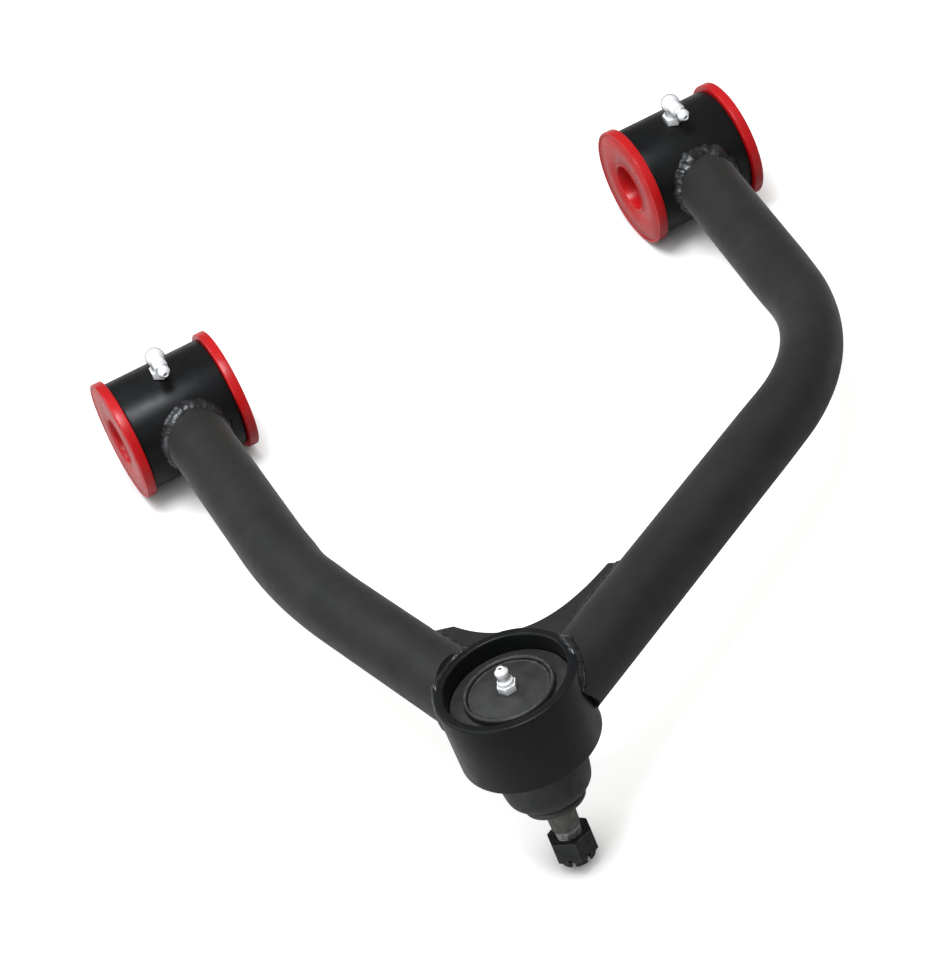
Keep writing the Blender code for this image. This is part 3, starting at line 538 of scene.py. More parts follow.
# Lighter copy of the boot rubber: painted light on the lip, which sits in shade under the boot
PAINTED_LIGHT_LIP_RUBBER = moulded_rubber("painted_light_lip_rubber", (0.044, 0.042, 0.037), (0.062, 0.058, 0.050))


# Pivot ends


def build_barrel(label, matrix):
    half = BARREL_LENGTH / 2
    outline = ((BARREL_BORE, -half), (BARREL_RADIUS, -half), (BARREL_RADIUS, half), (BARREL_BORE, half))
    barrel = bevel(finish_mesh(f"painted_barrel_{label}", lathe(outline, FINE), COAT, matrix), 0.0007)
    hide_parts(f"barrel_{label}")
    ride(barrel, "arm")


def build_bushing(label, end_name, end, matrix):
    """Moulded half with a rounded flange, a fine groove inside its rim and a raised lip at its bore."""
    half = BARREL_LENGTH / 2
    shank = BARREL_BORE - GAP
    seat = half + GAP
    face = seat + FLANGE_THICKNESS
    edge = 0.0006
    groove = 0.00028
    dish = 0.0002
    rim = FLANGE_RADIUS - 0.0013
    outline = [(BUSHING_BORE, GREASE_SPACE / 2), (shank, GREASE_SPACE / 2), (shank, seat)]
    outline += arc(FLANGE_RADIUS - edge, seat + edge, edge, -90, 0, 4)
    outline += arc(FLANGE_RADIUS - edge, face - edge, edge, 0, 90, 5)
    outline += [(rim, face), (rim - groove, face - groove - dish), (rim - 2 * groove, face - dish)]
    outline += [(BORE_LIP_RADIUS + 2 * groove, face - dish), (BORE_LIP_RADIUS + groove, face - dish - groove)]
    outline += [(BORE_LIP_RADIUS, face - 0.0001), (BORE_LIP_RADIUS - 0.0004, face)]
    outline += [(BUSHING_BORE + 0.0003, face - 0.0004), (BUSHING_BORE, face - 0.0010)]
    outline = [(radius, end * height) for radius, height in outline]
    name = f"moulded_bushing_{label}_{end_name}"
    bushing = finish_mesh(name, lathe(outline, FINE), RED, matrix, sharp=50)
    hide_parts(f"bushing_{label}_{end_name}")
    ride(bushing, "arm")


def build_sleeve(label, matrix):
    half = SLEEVE_LENGTH / 2
    outer = BUSHING_BORE - 0.0002
    outline = ((SLEEVE_BORE, -half), (outer, -half), (outer, half), (SLEEVE_BORE, half))
    sleeve = bevel(finish_mesh(f"turned_sleeve_{label}", lathe(outline, MEDIUM), STEEL, matrix), 0.0005)
    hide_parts(f"sleeve_{label}")
    ride(sleeve, f"{label}_sleeve")


# Tubes


def centreline(label):
    """Stations (position, direction, flattening share) along two straights joined by one arc."""
    points, bend_radius, flattening, reach, inner_share = TUBES[label]
    start, corner, end = (plane_point(*point) for point in points)
    inward = (corner - start).normalized()
    outward = (end - corner).normalized()
    turn = inward.angle(outward)
    arc_start = corner - inward * bend_radius * math.tan(turn / 2)
    normal = inward.cross(outward).normalized()
    centre = arc_start + normal.cross(inward) * bend_radius
    ramp = TUBE_RADIUS * 1.5
    half_length = bend_radius * turn / 2
    steps = round(2 * half_length / STATION_SPACING)

    def share(from_middle):
        return smooth_step((reach - abs(from_middle)) / min(reach, 2 * ramp))

    def shifted(station):
        position, direction, part = station
        outside = direction.cross(normal)
        return (position + outside * TUBE_RADIUS * flattening * inner_share * part, direction, part)

    stations = straight_stations(start, arc_start, inward, half_length, share)[::-1]
    for i in range(1, steps):
        rotation = Matrix.Rotation(turn * i / steps, 3, normal)
        from_middle = half_length * (2 * i / steps - 1)
        stations.append((centre + rotation @ (arc_start - centre), rotation @ inward, share(from_middle)))
    arc_end = centre + Matrix.Rotation(turn, 3, normal) @ (arc_start - centre)
    stations += straight_stations(end, arc_end, outward, half_length, share)
    return [shifted(station) for station in stations]


def straight_stations(far, near, direction, half_length, share):
    """Stations from a bend's end out to a tube's end."""
    length = (far - near).length
    steps = round(length / STATION_SPACING)
    stations = []
    for i in range(steps + 1):
        stations.append((near.lerp(far, i / steps), direction, share(half_length + length * i / steps)))
    return stations


def tube_ring(bm, station, radius, flattening):
    position, direction, share = station
    side = direction.cross(UP)
    wide = radius * (1 + 0.5 * flattening * share)
    narrow = radius * (1 - flattening * share)
    ring = []
    for i in range(MEDIUM):
        angle = math.tau * i / MEDIUM
        ring.append(bm.verts.new(position + side * narrow * math.cos(angle) + UP * wide * math.sin(angle)))
    return ring


def end_reach(label, angle):
    """How far past its centreline's end a tube's lip reaches at an angle round it: furthest over the top."""
    return TUBE_LIP[label] * smooth_step((math.sin(angle) + 0.5) / 1.2)


def slant_end(ring, direction, label):
    for i, vert in enumerate(ring):
        vert.co += direction * end_reach(label, math.tau * i / len(ring))


def tube_wall(stations, radius, flattening):
    bm = bmesh.new()
    rings = [tube_ring(bm, station, radius, flattening) for station in stations]
    for first, second in zip(rings, rings[1:]):
        join_rings(bm, first, second)
    return bm, rings


def cup_cutter():
    """Leaves a gap round the cup, and reaches well past it both ways."""
    return cylinder("cut_cup", CUP_RADIUS + GAP, -2 * CUP_HEIGHT, CUP_HEIGHT, CUP)


def build_tube(label):
    flattening = TUBES[label][2]
    stations = centreline(label)
    bm, outer = tube_wall(stations, TUBE_RADIUS, flattening)
    inner = [tube_ring(bm, station, TUBE_RADIUS - TUBE_WALL, flattening) for station in stations]
    for first, second in zip(inner, inner[1:]):
        join_rings(bm, first, second)
    for ring in (outer[-1], inner[-1]):
        slant_end(ring, stations[-1][1], label)
    join_rings(bm, outer[0], inner[0])
    join_rings(bm, outer[-1], inner[-1])
    tube = finish_mesh(f"bent_tube_{label}", bm, TUBE_COAT, ARM)
    reach = PIVOT_SPREAD / 4
    boolean(tube, cylinder("cut_barrel", BARREL_RADIUS + GAP, -reach, reach, barrel_matrix(SIDES[label])))
    boolean(tube, cup_cutter())
    bevel(tube, 0.0004, 2, 40)
    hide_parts(f"tube_{label}")
    ride(tube, "arm")


# Weld beads


def build_bead(name, path, width, height, seed, lumps=0.35, closed=False):
    """A weld bead along (point, outward) stations: an oval section whose size ripples with the puddles."""
    bm = bmesh.new()
    facets = 14
    travelled = 0.0
    rings = []
    count = len(path)
    for i, (point, outward) in enumerate(path):
        before = path[i - 1][0] if i or closed else point
        after = path[(i + 1) % count][0] if i + 1 < count or closed else point
        tangent = (after - before).normalized()
        side = tangent.cross(outward).normalized()
        up = side.cross(tangent)
        travelled += (point - before).length
        wander = noise.noise(point * 110 + Vector((0, 0, seed)))
        puddle = abs(math.sin(math.pi * (travelled / WELD_PITCH + 1.2 * wander)))
        swell = 0.90 + 0.09 * puddle + lumps * noise.noise(point * 170 + Vector((seed, 0, 0)))
        end_share = 1.0
        if not closed:
            end_share = math.sqrt(smooth_step(min(i, count - 1 - i) / 5 + 0.02))
        drift = side * noise.noise(point * 90 + Vector((0, seed, 4))) * width * 0.35
        ring = []
        for k in range(facets):
            angle = math.tau * k / facets
            scoop = tangent * (math.sin(angle) * 0.25 * WELD_PITCH)
            across = side * width * math.cos(angle) + up * height * math.sin(angle)
            corner = point + drift + across * swell * end_share + scoop
            corner += across.normalized() * noise.noise(corner * 420) * height * lumps
            ring.append(bm.verts.new(corner))
        rings.append(ring)
    for first, second in zip(rings, rings[1:]):
        join_rings(bm, first, second)
    if closed:
        join_rings(bm, rings[-1], rings[0])
    else:
        bm.faces.new(rings[0])
        bm.faces.new(rings[-1])
    bead = finish_mesh(name, bm, WELD, ARM, sharp=80)
    ride(bead, "arm")


def barrel_seam(label):
    """Closed seam where a tube meets its barrel, in arm plane coordinates."""
    start, corner = (plane_point(*point) for point in TUBES[label][0][:2])
    direction = (corner - start).normalized()
    side = direction.cross(UP)
    path = []
    steps = 150
    for i in range(steps):
        angle = math.tau * i / steps
        normal = side * math.cos(angle) + UP * math.sin(angle)
        point = start + normal * TUBE_RADIUS
        a = direction.y**2
        b = 2 * point.y * direction.y
        c = point.y**2 + point.z**2 - BARREL_RADIUS**2
        point = point + direction * (-b + math.sqrt(b * b - 4 * a * c)) / (2 * a)
        around = Vector((0, point.y, point.z)).normalized()
        path.append((point, (normal + around).normalized()))
    return path


def tube_end(label):
    """Where a tube's centreline ends at the cup, its direction there and the direction to its side."""
    corner, end = (plane_point(*point) for point in TUBES[label][0][1:])
    direction = (end - corner).normalized()
    return end, direction, direction.cross(UP)


def cup_seam(label, from_degrees, to_degrees):
    """Seam between a tube's end and the cup, below the rim, between two angles round the tube."""
    end, direction, side = tube_end(label)
    rim_depth = -0.0012
    steps = 90
    path = []
    for i in range(steps + 1):
        angle = math.radians(from_degrees + (to_degrees - from_degrees) * i / steps)
        normal = side * math.cos(angle) + UP * math.sin(angle)
        start = end - direction * 0.06 + normal * TUBE_RADIUS
        offset = start - CUP_CENTRE
        flat = offset - offset.project(CUP_DIRECTION)
        along = direction - direction.project(CUP_DIRECTION)
        a = along.length_squared
        b = 2 * flat.dot(along)
        c = flat.length_squared - CUP_RADIUS**2
        root = b * b - 4 * a * c
        if root < 0:
            continue
        reach = (-b - math.sqrt(root)) / (2 * a)
        point = start + direction * reach
        if (point - end).dot(direction) > end_reach(label, angle):
            continue
        depth = (point - CUP_CENTRE).dot(CUP_DIRECTION)
        point = point + CUP_DIRECTION * (min(depth, rim_depth) - depth)
        around = point - CUP_CENTRE
        around = (around - around.project(CUP_DIRECTION)).normalized()
        path.append((point, (normal + around).normalized()))
    return path


def flank_seam(label, side_sign, near, far):
    """Seam along a tube at the gusset's top, between two distances back from the tube's end."""
    end, direction, side = tube_end(label)
    sideways = math.sqrt(TUBE_RADIUS**2 - GUSSET_TOP**2)
    normal = (side * side_sign * sideways + UP * GUSSET_TOP).normalized()
    outward = (normal + UP).normalized()
    steps = round((far - near) / SEAM_SPACING)
    path = []
    for i in range(steps + 1):
        back = near + (far - near) * i / steps
        path.append((end - direction * back + normal * TUBE_RADIUS, outward))
    return path


# Gusset plate


def cubic(controls, t):
    weights = ((1 - t) ** 3, 3 * (1 - t) ** 2 * t, 3 * (1 - t) * t**2, t**3)
    return sum((point * weight for point, weight in zip(controls, weights)), Vector((0.0, 0.0)))


def build_gusset():
    controls = [Vector(point) for point in GUSSET_EDGE]
    steps = 40
    edge = [cubic(controls, i / steps) for i in range(steps + 1)]
    far_flank = [Vector((-0.0300, 0.2800)), Vector((-0.0900, 0.3100)), Vector((-0.1250, 0.3100))]
    outline = [Vector((-0.1300, 0.2550))] + edge + far_flank
    bm = bmesh.new()
    low = GUSSET_TOP - GUSSET_THICKNESS
    face = bm.faces.new([bm.verts.new((p.x, -p.y, low)) for p in outline])
    extruded = bmesh.ops.extrude_face_region(bm, geom=[face])
    top = [item for item in extruded["geom"] if isinstance(item, bmesh.types.BMVert)]
    bmesh.ops.translate(bm, verts=top, vec=(0, 0, GUSSET_THICKNESS))
    gusset = finish_mesh("welded_gusset", bm, TUBE_COAT, ARM)
    boolean(gusset, cup_cutter())
    for label in SIDES:
        bar, rings = tube_wall(centreline(label), TUBE_RADIUS + GAP, TUBES[label][2])
        bar.faces.new(rings[0])
        bar.faces.new(rings[-1])
        boolean(gusset, finish_mesh("cut_tube", bar, None, ARM))
    bevel(gusset, 0.0006, 3, 40)
    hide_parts("gusset_plate")
    ride(gusset, "arm")


# Cup and ball joint


def build_cup():
    shoulder = -LEDGE_DEPTH - LEDGE_THICKNESS - GAP
    outline = (
        (CUP_RECESS_RADIUS, 0.0),
        (CUP_RADIUS, 0.0),
        (CUP_RADIUS, -CUP_HEIGHT),
        (CUP_BORE, -CUP_HEIGHT),
        (CUP_BORE, shoulder),
        (CUP_RECESS_RADIUS, shoulder),
    )
    cup = bevel(finish_mesh("painted_cup", lathe(outline, FINE), COAT, CUP), 0.0009, 4)
    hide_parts("ball_joint_cup")
    ride(cup, "arm")


def build_housing():
    """Pressed body with a rolled lip whose crown is slightly domed."""
    body = CUP_BORE - GAP
    ledge_radius = CUP_RECESS_RADIUS - GAP
    lip_bore = LIP_RADIUS - LIP_WIDTH
    ledge = -LEDGE_DEPTH
    floor = -BALL_DEPTH - HOUSING_FLOOR
    shoulder = -BALL_DEPTH - HOUSING_SHOULDER
    bottom = -BALL_DEPTH - HOUSING_END
    cover_seat = -COVER_DEPTH - COVER_THICKNESS - GAP
    crown = 0.0011
    outline = [(lip_bore, -COVER_DEPTH + 0.0002)]
    outline += arc(lip_bore + crown, -LIP_DEPTH - crown, crown, 180, 90, 6)
    outline += arc(LIP_RADIUS - crown, -LIP_DEPTH - crown, crown, 90, 0, 6)
    outline += arc(LIP_RADIUS + 0.0007, ledge + 0.0007, 0.0007, 180, 270, 4)
    outline += arc(ledge_radius - 0.0005, ledge - 0.0005, 0.0005, 90, 0, 3)
    outline += [
        (ledge_radius, ledge - LEDGE_THICKNESS),
        (body, ledge - LEDGE_THICKNESS),
        (body, shoulder),
        (HOUSING_NECK_RADIUS + 0.0024, shoulder - 0.0007),
        (HOUSING_NECK_RADIUS, shoulder - 0.0017),
        (HOUSING_NECK_RADIUS, bottom),
        (HOUSING_MOUTH_RADIUS + 0.0017, bottom),
        (HOUSING_MOUTH_RADIUS, floor),
        (HOUSING_BORE - 0.0015, floor),
        (HOUSING_BORE, floor + 0.0015),
        (HOUSING_BORE, cover_seat),
        (lip_bore, cover_seat),
    ]
    housing = finish_mesh("pressed_housing", lathe(outline, FINE), PLATE, CUP, sharp=40)
    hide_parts("ball_joint_housing")
    ride(housing, "arm")


def build_cover():
    """Disc with a fine groove near its edge, inside the rolled lip."""
    radius = LIP_RADIUS - LIP_WIDTH - GAP
    top = -COVER_DEPTH
    hole = FITTING_SHANK_RADIUS + GAP
    outline = [(hole, top - COVER_THICKNESS), (hole, top)]
    outline += [(radius - 0.0016, top), (radius - 0.0011, top - 0.00025), (radius - 0.0005, top)]
    outline += [(radius, top - 0.0003), (radius, top - COVER_THICKNESS)]
    cover = finish_mesh("cover_disc", lathe(outline, FINE), PLATE, CUP, sharp=50)
    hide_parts("cover_plate")
    ride(cover, "arm")


def thread_rows(start, end):
    """Distances down the threaded end of the stud, ten to each turn of the thread."""
    step = THREAD_PITCH / 10
    count = round((end - start) / step)
    return [start + (end - start) * i / count for i in range(count + 1)]


def thread_radius(distance, angle):
    """Truncated triangle thread that fades out at both ends, on a stud whose end is rounded off."""
    phase = (distance / THREAD_PITCH + angle / math.tau) % 1.0
    ridge = min(1.0, max(0.0, 1.5 - 3.2 * abs(phase - 0.5)))
    fade = smooth_step((distance - THREAD_START) / 0.0010) * smooth_step((STUD_END - distance) / 0.0016)
    rounding = 0.0008 * smooth_step((distance - STUD_END + 0.0012) / 0.0012)
    return THREAD_RADIUS - THREAD_DEPTH * (1 - ridge) * fade - rounding


def build_stud():
    """Ball, neck, taper and a cut thread, with a cross hole through its end."""
    bm = bmesh.new()
    neck_angle = math.degrees(math.acos(NECK_RADIUS / BALL_RADIUS))
    outline = [(radius, -height) for radius, height in arc(0.0, 0.0, BALL_RADIUS, 70.0, -neck_angle, 40)]
    outline += [
        (NECK_RADIUS, NECK_END),
        (TAPER_LARGE_RADIUS, NECK_END + 0.0050),
        (TAPER_LARGE_RADIUS, TAPER_START),
        (TAPER_SMALL_RADIUS, TAPER_END - 0.0003),
        (TAPER_SMALL_RADIUS - 0.0003, TAPER_END),
        (THREAD_RADIUS, TAPER_END + 0.0004),
    ]
    facets = MEDIUM
    rings = []
    for radius, distance in outline:
        rings.append([(radius, distance)] * facets)
    smooth_rings = len(rings)
    for distance in thread_rows(THREAD_START, STUD_END):
        rings.append([(thread_radius(distance, math.tau * k / facets), distance) for k in range(facets)])
    made = []
    for ring in rings:
        verts = []
        for k, (radius, distance) in enumerate(ring):
            angle = math.tau * k / facets
            verts.append(bm.verts.new((radius * math.cos(angle), radius * math.sin(angle), -distance)))
        made.append(verts)
    for i, (first, second) in enumerate(zip(made, made[1:])):
        faces_before = len(bm.faces)
        join_rings(bm, first, second)
        if i >= smooth_rings - 1:
            bm.faces.ensure_lookup_table()
            for face in bm.faces[faces_before:]:
                face.material_index = 1
    bm.faces.new(made[0])
    bm.faces.new(made[-1])
    stud = finish_mesh("threaded_stud", bm, STUD_STEEL, STUD, sharp=40)
    stud.data.materials.append(THREAD_STEEL)
    pin_height = -NUT_SEAT - NUT_HEX_HEIGHT - PIN_HOLE_DROP
    across = Matrix.Rotation(NUT_TURN + math.pi / 6, 4, "Z") @ Matrix.Rotation(math.pi / 2, 4, "Y")
    place = STUD @ Matrix.Translation((0, 0, pin_height)) @ across
    boolean(stud, rod("cut_pin", PIN_HOLE_RADIUS, 4 * THREAD_RADIUS, SMALL, place))
    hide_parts("ball_stud")
    ride(stud, "stud")


def build_nut():
    corner_radius = NUT_FLATS / 2 / math.cos(math.pi / 6)
    seat = -NUT_SEAT
    hex_end = seat - NUT_HEX_HEIGHT
    crown_end = hex_end - NUT_CROWN_HEIGHT
    bore = THREAD_RADIUS + GAP
    body = ((0.0, seat), (corner_radius, seat), (corner_radius, hex_end), (0.0, hex_end))
    nut = finish_mesh("slotted_nut", lathe(body, 6, NUT_TURN), NUT_STEEL, STUD)
    rise = (corner_radius - NUT_FLATS / 2) * math.tan(math.radians(30))
    wide = corner_radius + 0.0004
    envelope = (
        (0.0, seat + 0.0002),
        (NUT_FLATS / 2, seat + 0.0002),
        (wide, seat - rise),
        (wide, hex_end + rise),
        (NUT_FLATS / 2, hex_end - 0.0002),
        (0.0, hex_end - 0.0002),
    )
    boolean(nut, finish_mesh("keep", lathe(envelope, MEDIUM), None, STUD), "INTERSECT")
    crown = [(0.0, hex_end + 0.0010), (NUT_CROWN_RADIUS, hex_end + 0.0010)]
    crown += arc(NUT_CROWN_RADIUS - 0.0010, crown_end + 0.0010, 0.0010, 0, -90, 5) + [(0.0, crown_end)]
    boolean(nut, finish_mesh("crown", lathe(crown, MEDIUM), None, STUD), "UNION")
    bore_outline = (
        (0.0, seat + 0.002),
        (bore + 0.0028, seat + 0.002),
        (bore + 0.0010, seat),
        (bore, seat - 0.0009),
        (bore, crown_end + 0.0004),
        (bore + 0.0006, crown_end - 0.0002),
        (bore + 0.0006, crown_end - 0.002),
        (0.0, crown_end - 0.002),
    )
    boolean(nut, finish_mesh("bore", lathe(bore_outline, MEDIUM), None, STUD))
    slot_height = NUT_CROWN_HEIGHT + 2 * NUT_SLOT_OVERRUN
    for i in range(3):
        slot = bmesh.new()
        turn = Matrix.Rotation(NUT_TURN + math.pi / 6 + i * math.pi / 3, 4, "Z")
        place = Matrix.Translation((0, 0, hex_end - slot_height / 2 + NUT_SLOT_OVERRUN))
        size = Matrix.Diagonal((0.03, NUT_SLOT_WIDTH, slot_height, 1.0))
        bmesh.ops.create_cube(slot, size=1.0, matrix=turn @ place @ size)
        boolean(nut, finish_mesh("slot", slot, None, STUD))
    bevel(nut, 0.00022, 2, 28)
    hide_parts("castle_nut")
    ride(nut, "nut")


def through_points(points, steps):
    """A smooth curve through outline points, as a Catmull-Rom spline."""
    padded = [Vector(p) for p in (points[0],) + tuple(points) + (points[-1],)]
    result = []
    for i in range(len(padded) - 3):
        p0, p1, p2, p3 = padded[i : i + 4]
        for k in range(steps):
            t = k / steps
            result.append(0.5 * (2 * p1 + (p2 - p0) * t + (2 * p0 - 5 * p1 + 4 * p2 - p3) * t**2
                                 + (3 * p1 - p0 - 3 * p2 + p3) * t**3))
    return [tuple(p) for p in result] + [tuple(points[-1])]


def build_boot():
    """Rubber boot whose rings turn from the housing's axis to the stud's axis."""
    top_axis = -(CUP.to_3x3() @ UP)
    end_axis = -(STUD.to_3x3() @ UP)
    first = BOOT_OUTLINE[0][0]
    last = BOOT_OUTLINE[-1][0]
    outer = through_points(BOOT_OUTLINE[:-2], 6) + [BOOT_OUTLINE[-2], BOOT_OUTLINE[-1]]
    inner = [(first, HOUSING_NECK_RADIUS + GAP)]
    inner += [(distance - 0.0004, radius - BOOT_WALL) for distance, radius in BOOT_OUTLINE[1:-3]]
    inner = through_points(tuple(inner), 5)
    inner += [(BOOT_MOUTH_START, BOOT_MOUTH_RADIUS + 0.0005), (last, BOOT_MOUTH_RADIUS)]
    bm = bmesh.new()

    def ring(distance, radius):
        share = smooth_step((distance - first) / (BOOT_LEAN_END - first))
        axis = top_axis.lerp(end_axis, share).normalized()
        local = axis_matrix(BALL_CENTRE + axis * distance, -axis)
        verts = []
        for i in range(MEDIUM):
            angle = math.tau * i / MEDIUM
            corner = Vector((radius * math.cos(angle), radius * math.sin(angle), 0))
            verts.append(bm.verts.new(local @ corner))
        return verts

    rings = [ring(*point) for point in outer + inner[::-1]]
    for near, far in zip(rings, rings[1:] + rings[:1]):
        join_rings(bm, near, far)
    boot = finish_mesh("rubber_boot", bm, RUBBER, sharp=50)
    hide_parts("dust_boot")
    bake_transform(boot)


def build_boot_lip():
    """Rounded lower lip that grips the stud."""
    inner = BOOT_OUTLINE[-2][1] + GAP
    high = -BOOT_OUTLINE[-2][0] - GAP
    low = -BOOT_OUTLINE[-1][0]
    middle = (high + low) / 2
    outline = [(inner, low)]
    outline += arc(BOOT_RING_RADIUS - 0.0016, middle, (high - low) / 2, -90, 90, 12)
    outline += [(inner, high)]
    lip = finish_mesh("boot_lip", lathe(outline, MEDIUM), PAINTED_LIGHT_LIP_RUBBER, STUD, sharp=50)
    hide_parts("boot_ring_lower")
    ride(lip, "boot_mouth")


# Grease fittings


def nozzle_outline(root, tip):
    """Collar, neck, round head and flat mouth, as (radius, distance)."""
    outline = [(0.0, root), (NOZZLE_COLLAR_RADIUS, root)]
    outline += arc(NOZZLE_COLLAR_RADIUS - 0.0004, tip - 0.0072, 0.0004, 0, 90, 3)
    outline += [(NOZZLE_NECK_RADIUS + 0.0003, tip - 0.0064), (NOZZLE_NECK_RADIUS, tip - 0.0060)]
    outline += [(NOZZLE_NECK_RADIUS, tip - 0.0048), (NOZZLE_HEAD_RADIUS - 0.0003, tip - 0.0040)]
    outline += arc(NOZZLE_HEAD_RADIUS - 0.0005, tip - 0.0035, 0.0005, -30, 0, 2)
    outline += arc(NOZZLE_HEAD_RADIUS - 0.0010, tip - 0.0021, 0.0010, 0, 45, 4)
    outline += [(0.0019, tip - 0.0003), (0.0016, tip), (0.0, tip)]
    return outline


def passage_outline(root, tip):
    mouth = NOZZLE_MOUTH_RADIUS
    return [
        (0.0, root),
        (mouth, root),
        (mouth, tip - 0.0062),
        (CHECK_BORE, tip - 0.0062),
        (CHECK_BORE, tip - 0.0012),
        (mouth, tip - 0.0004),
        (mouth + 0.0003, tip + 0.0001),
        (mouth + 0.0003, tip + 0.0010),
        (0.0, tip + 0.0010),
    ]


def hexagon(name, radius, low, high, matrix, turn=0.0):
    """A hexagonal prism whose upper corners are turned off."""
    outline = ((0.0, low), (radius, low), (radius, high), (0.0, high))
    prism = finish_mesh(name, lathe(outline, 6, turn), None, matrix)
    flat = radius * math.cos(math.pi / 6)
    envelope = ((0.0, low - 0.001), (radius + 0.001, low - 0.001), (radius + 0.001, high - 0.0008),
                (flat - 0.0001, high + 0.0001), (0.0, high + 0.0001))
    return boolean(prism, finish_mesh("keep", lathe(envelope, MEDIUM), None, matrix), "INTERSECT")


def build_elbow(label, side):
    base = fitting_matrix(side)
    forward = base.to_3x3() @ Vector((1, 0, 0))
    nozzle_frame = axis_matrix(base @ Vector((0, 0, ELBOW_HEIGHT)), forward, (0, 0, 1))
    shank_end = -ELBOW_SHANK_DEPTH
    stem = [(0.0, shank_end), (FITTING_SHANK_RADIUS, shank_end), (FITTING_SHANK_RADIUS, 0.0005)]
    stem += [(ELBOW_NECK_RADIUS, 0.0005), (ELBOW_NECK_RADIUS, ELBOW_HEIGHT - ELBOW_NECK_RADIUS)]
    stem += arc(0.0, ELBOW_HEIGHT, ELBOW_RADIUS, -44.9, 90.0, 24)
    stem[-1] = (0.0, ELBOW_HEIGHT + ELBOW_RADIUS)
    name = f"plated_elbow_fitting_{label}"
    fitting = finish_mesh(name, lathe(stem, SMALL), ZINC, base)
    hex_radius = FITTING_HEX_FLATS / 2 / math.cos(math.pi / 6)
    boolean(fitting, hexagon("hex", hex_radius, 0.0, FITTING_HEX_HEIGHT, base), "UNION")
    nozzle = lathe(nozzle_outline(0.0020, NOZZLE_REACH), SMALL, math.radians(1))
    boolean(fitting, finish_mesh("nozzle", nozzle, None, nozzle_frame), "UNION")
    passage = lathe(passage_outline(0.0003, NOZZLE_REACH), 32, math.radians(2))
    boolean(fitting, finish_mesh("passage", passage, None, nozzle_frame))
    bevel(fitting, 0.00015, 2, 35)
    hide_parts(f"grease_fitting_{label}")
    build_check_spring(label, nozzle_frame, NOZZLE_REACH)
    ride(fitting, "arm")


def build_straight_fitting():
    seat = CUP @ Vector((0, 0, -COVER_DEPTH + GAP))
    base = axis_matrix(seat, CUP.to_3x3() @ UP)
    tip = STRAIGHT_TIP
    shank_end = -STRAIGHT_SHANK_DEPTH
    outline = [(0.0, shank_end), (FITTING_SHANK_RADIUS, shank_end), (FITTING_SHANK_RADIUS, 0.0005)]
    outline += nozzle_outline(0.0005, tip)[1:]
    fitting = finish_mesh("plated_straight_fitting", lathe(outline, SMALL), ZINC, base)
    boolean(fitting, hexagon("hex", STRAIGHT_HEX_RADIUS, 0.0, STRAIGHT_HEX_HEIGHT, base), "UNION")
    passage = lathe(passage_outline(shank_end - 0.001, tip), 32, math.radians(2))
    boolean(fitting, finish_mesh("passage", passage, None, base))
    bevel(fitting, 0.00015, 2, 35)
    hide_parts("grease_fitting_ball_joint")
    build_check_spring("ball_joint", base, tip)
    ride(fitting, "arm")


def build_check_spring(label, nozzle_frame, tip):
    """Round-wire coil behind a check ball."""
    low = tip - 0.0060
    high = tip - 0.0028
    steps = CHECK_SPRING_TURNS * 24
    facets = 10
    bm = bmesh.new()
    rings = []
    for i in range(steps + 1):
        angle = math.tau * i * CHECK_SPRING_TURNS / steps
        radial = Vector((math.cos(angle), math.sin(angle), 0))
        middle = radial * CHECK_SPRING_COIL_RADIUS + Vector((0, 0, low + (high - low) * i / steps))
        ring = []
        for k in range(facets):
            turn = math.tau * k / facets
            offset = radial * math.cos(turn) + Vector((0, 0, math.sin(turn)))
            ring.append(bm.verts.new(middle + offset * CHECK_SPRING_WIRE_RADIUS))
        rings.append(ring)
    for first, second in zip(rings, rings[1:]):
        join_rings(bm, first, second)
    bm.faces.new(rings[0])
    bm.faces.new(rings[-1])
    spring = finish_mesh(f"coiled_spring_{label}", bm, STEEL, nozzle_frame, sharp=60)
    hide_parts(f"check_spring_{label}")
    ride(spring, "arm")
    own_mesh(spring)


# Carried-over CAD nodes

NODE_MATERIALS = {
    "check_ball": STEEL,
    "pressure_spring": STEEL,
    "bearing": NYLON,
    "boot_ring_upper": NUT_STEEL,
}


def dress_cad_nodes():
    for name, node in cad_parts.items():
        for prefix, mat in NODE_MATERIALS.items():
            if name.startswith(prefix):
                node.data.materials.clear()
                node.data.materials.append(mat)


# Stage


def build_floor():
    """Pale floor that glows towards white for the camera, except close to the part, where the cut glow is a
    painted contact shadow.
    """
    bm = bmesh.new()
    bmesh.ops.create_grid(bm, x_segments=1, y_segments=1, size=FLOOR_REACH)
    shader = Shader("pale_floor", (0.90, 0.90, 0.895), 0.75, specular=0.1)
    rays = shader.node("ShaderNodeLightPath")
    path = rays.outputs["Is Camera Ray"]
    seen = shader.mix(rays.outputs["Is Glossy Ray"], (0.32, 0.32, 0.32), (0.55, 0.54, 0.51))
    shader.colour(shader.mix(path, seen, (0.60, 0.59, 0.57)))
    shader.main.inputs["Emission Color"].default_value = (1.0, 1.0, 0.99, 1.0)
    # The glow fades next to the part: a painted contact shadow
    contact = shader.node("ShaderNodeAmbientOcclusion", {"Distance": CONTACT_SHADOW_REACH}, samples=8)
    open_share = shader.spread(contact.outputs["AO"], 0.25, 0.98)
    lift = shader.math("MULTIPLY", shader.math("MULTIPLY", path, FLOOR_LIFT), open_share)
    shader.tree.links.new(lift, shader.main.inputs["Emission Strength"])
    floor = finish_mesh("floor", bm, shader.material, Matrix.Translation((0, 0, cad_low.z - FLOOR_GAP)))


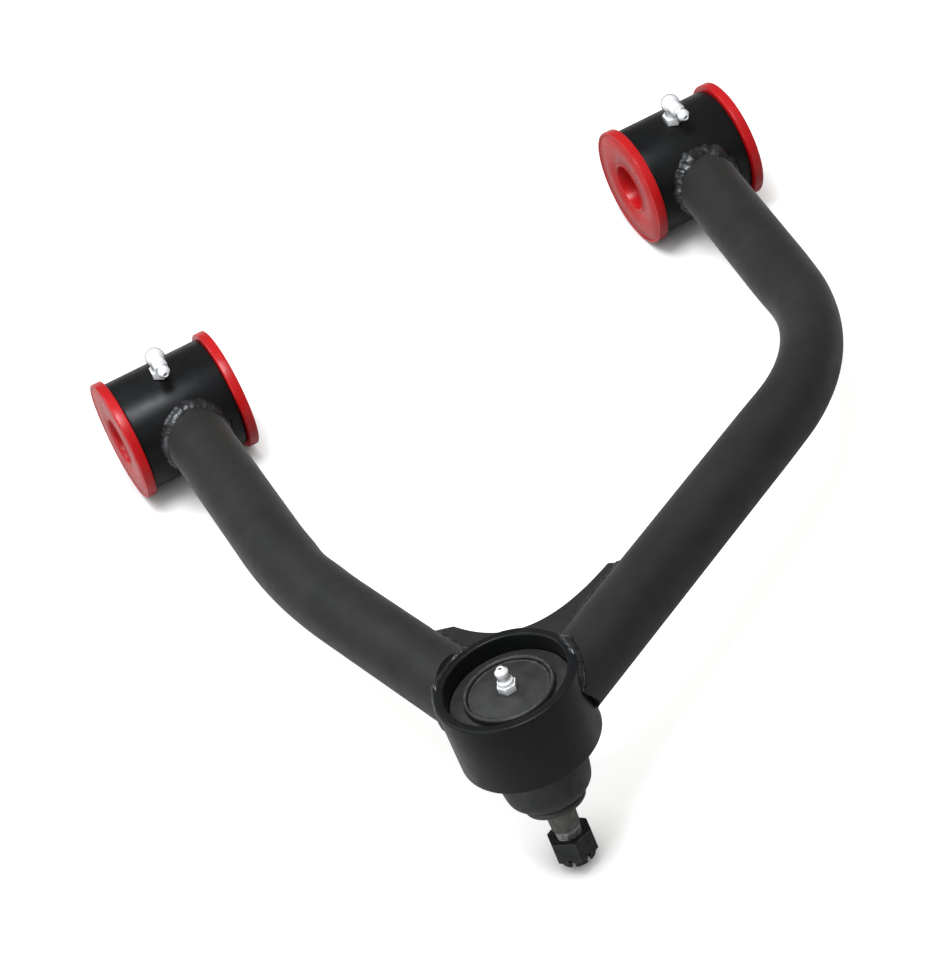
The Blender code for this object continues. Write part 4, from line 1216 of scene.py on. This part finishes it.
def build_world():
    """Sky that is white to the camera and, for lighting, darker downwards, so that curved paint shows soft
    bands.
    """
    world = bpy.data.worlds.new("studio")
    bpy.context.scene.world = world
    world.use_nodes = True
    tree = world.node_tree
    background = tree.nodes["Background"]
    coords = tree.nodes.new("ShaderNodeTexCoord")
    split = tree.nodes.new("ShaderNodeSeparateXYZ")
    tree.links.new(coords.outputs["Generated"], split.inputs[0])
    ramp = tree.nodes.new("ShaderNodeMapRange")
    for name, value in {"From Min": -0.1, "From Max": 1.0, "To Min": 0.15, "To Max": 0.45}.items():
        ramp.inputs[name].default_value = value
    tree.links.new(split.outputs["Z"], ramp.inputs["Value"])
    path = tree.nodes.new("ShaderNodeLightPath")
    strength = tree.nodes.new("ShaderNodeMix")
    tree.links.new(path.outputs["Is Camera Ray"], strength.inputs["Factor"])
    tree.links.new(ramp.outputs[0], strength.inputs["A"])
    strength.inputs["B"].default_value = 1.0
    tree.links.new(strength.outputs[0], background.inputs["Strength"])
    background.inputs["Color"].default_value = (1.0, 1.0, 1.0, 1.0)


def add_softbox(name, location, size, power):
    light = bpy.data.lights.new(name, "AREA")
    light.shape = "SQUARE"
    light.size = size
    light.energy = power
    light.color = (0.90, 0.94, 1.0)
    obj = link(bpy.data.objects.new(name, light))
    obj.location = location
    obj.rotation_euler = (Vector((0, 0, 0.03)) - Vector(location)).to_track_quat("-Z", "Y").to_euler()
    obj.visible_camera = False


def build_camera():
    camera = bpy.data.cameras.new("camera")
    camera.sensor_width = 36.0
    camera.lens = CAMERA_LENS
    camera.clip_end = 20.0
    obj = link(bpy.data.objects.new("camera", camera))
    forward = Vector(CAMERA_FORWARD)
    right = forward.cross(Vector(CAMERA_UP)).normalized()
    turn = Matrix((right, right.cross(forward), -forward)).transposed().to_4x4()
    obj.matrix_world = Matrix.Translation(CAMERA_PLACE) @ turn
    bpy.context.scene.camera = obj


for label, side in SIDES.items():
    matrix = barrel_matrix(side)
    build_barrel(label, matrix)
    build_bushing(label, "left", -1, matrix)
    build_bushing(label, "right", 1, matrix)
    build_sleeve(label, matrix)
    build_elbow(label, side)
    build_tube(label)
    seam = barrel_seam(label)
    build_bead(f"weld_barrel_{label}", seam, 0.0046, 0.0026, 3.0 * side, WELD_LUMPS[label], closed=True)

build_cup()
build_gusset()
front_flank = flank_seam("front", -1, 0.030, 0.060)
rear_flank = flank_seam("rear", 1, 0.014, 0.071)
build_bead("weld_cup_front", cup_seam("front", 0, 358), 0.0030, 0.0020, 7.0, lumps=0.15, closed=True)
build_bead("weld_cup_rear", cup_seam("rear", -124, 150), 0.0032, 0.0022, 9.0)
build_bead("weld_gusset_front", front_flank, 0.0016, 0.0012, 11.0)
build_bead("weld_gusset_rear", rear_flank, 0.0018, 0.0013, 13.0)
build_housing()
build_cover()
build_straight_fitting()
build_stud()
build_nut()
build_boot()
build_boot_lip()
dress_cad_nodes()

build_floor()
build_world()
add_softbox("overhead_softbox", (-0.25, -0.1, 1.5), 0.50, 19)
add_softbox("back_softbox", (-0.9, 1.2, 1.3), 0.9, 12)
add_softbox("left_softbox", (-1.3, -0.5, 0.45), 0.8, 7)
build_camera()
bpy.context.scene.view_settings.view_transform = "Standard"
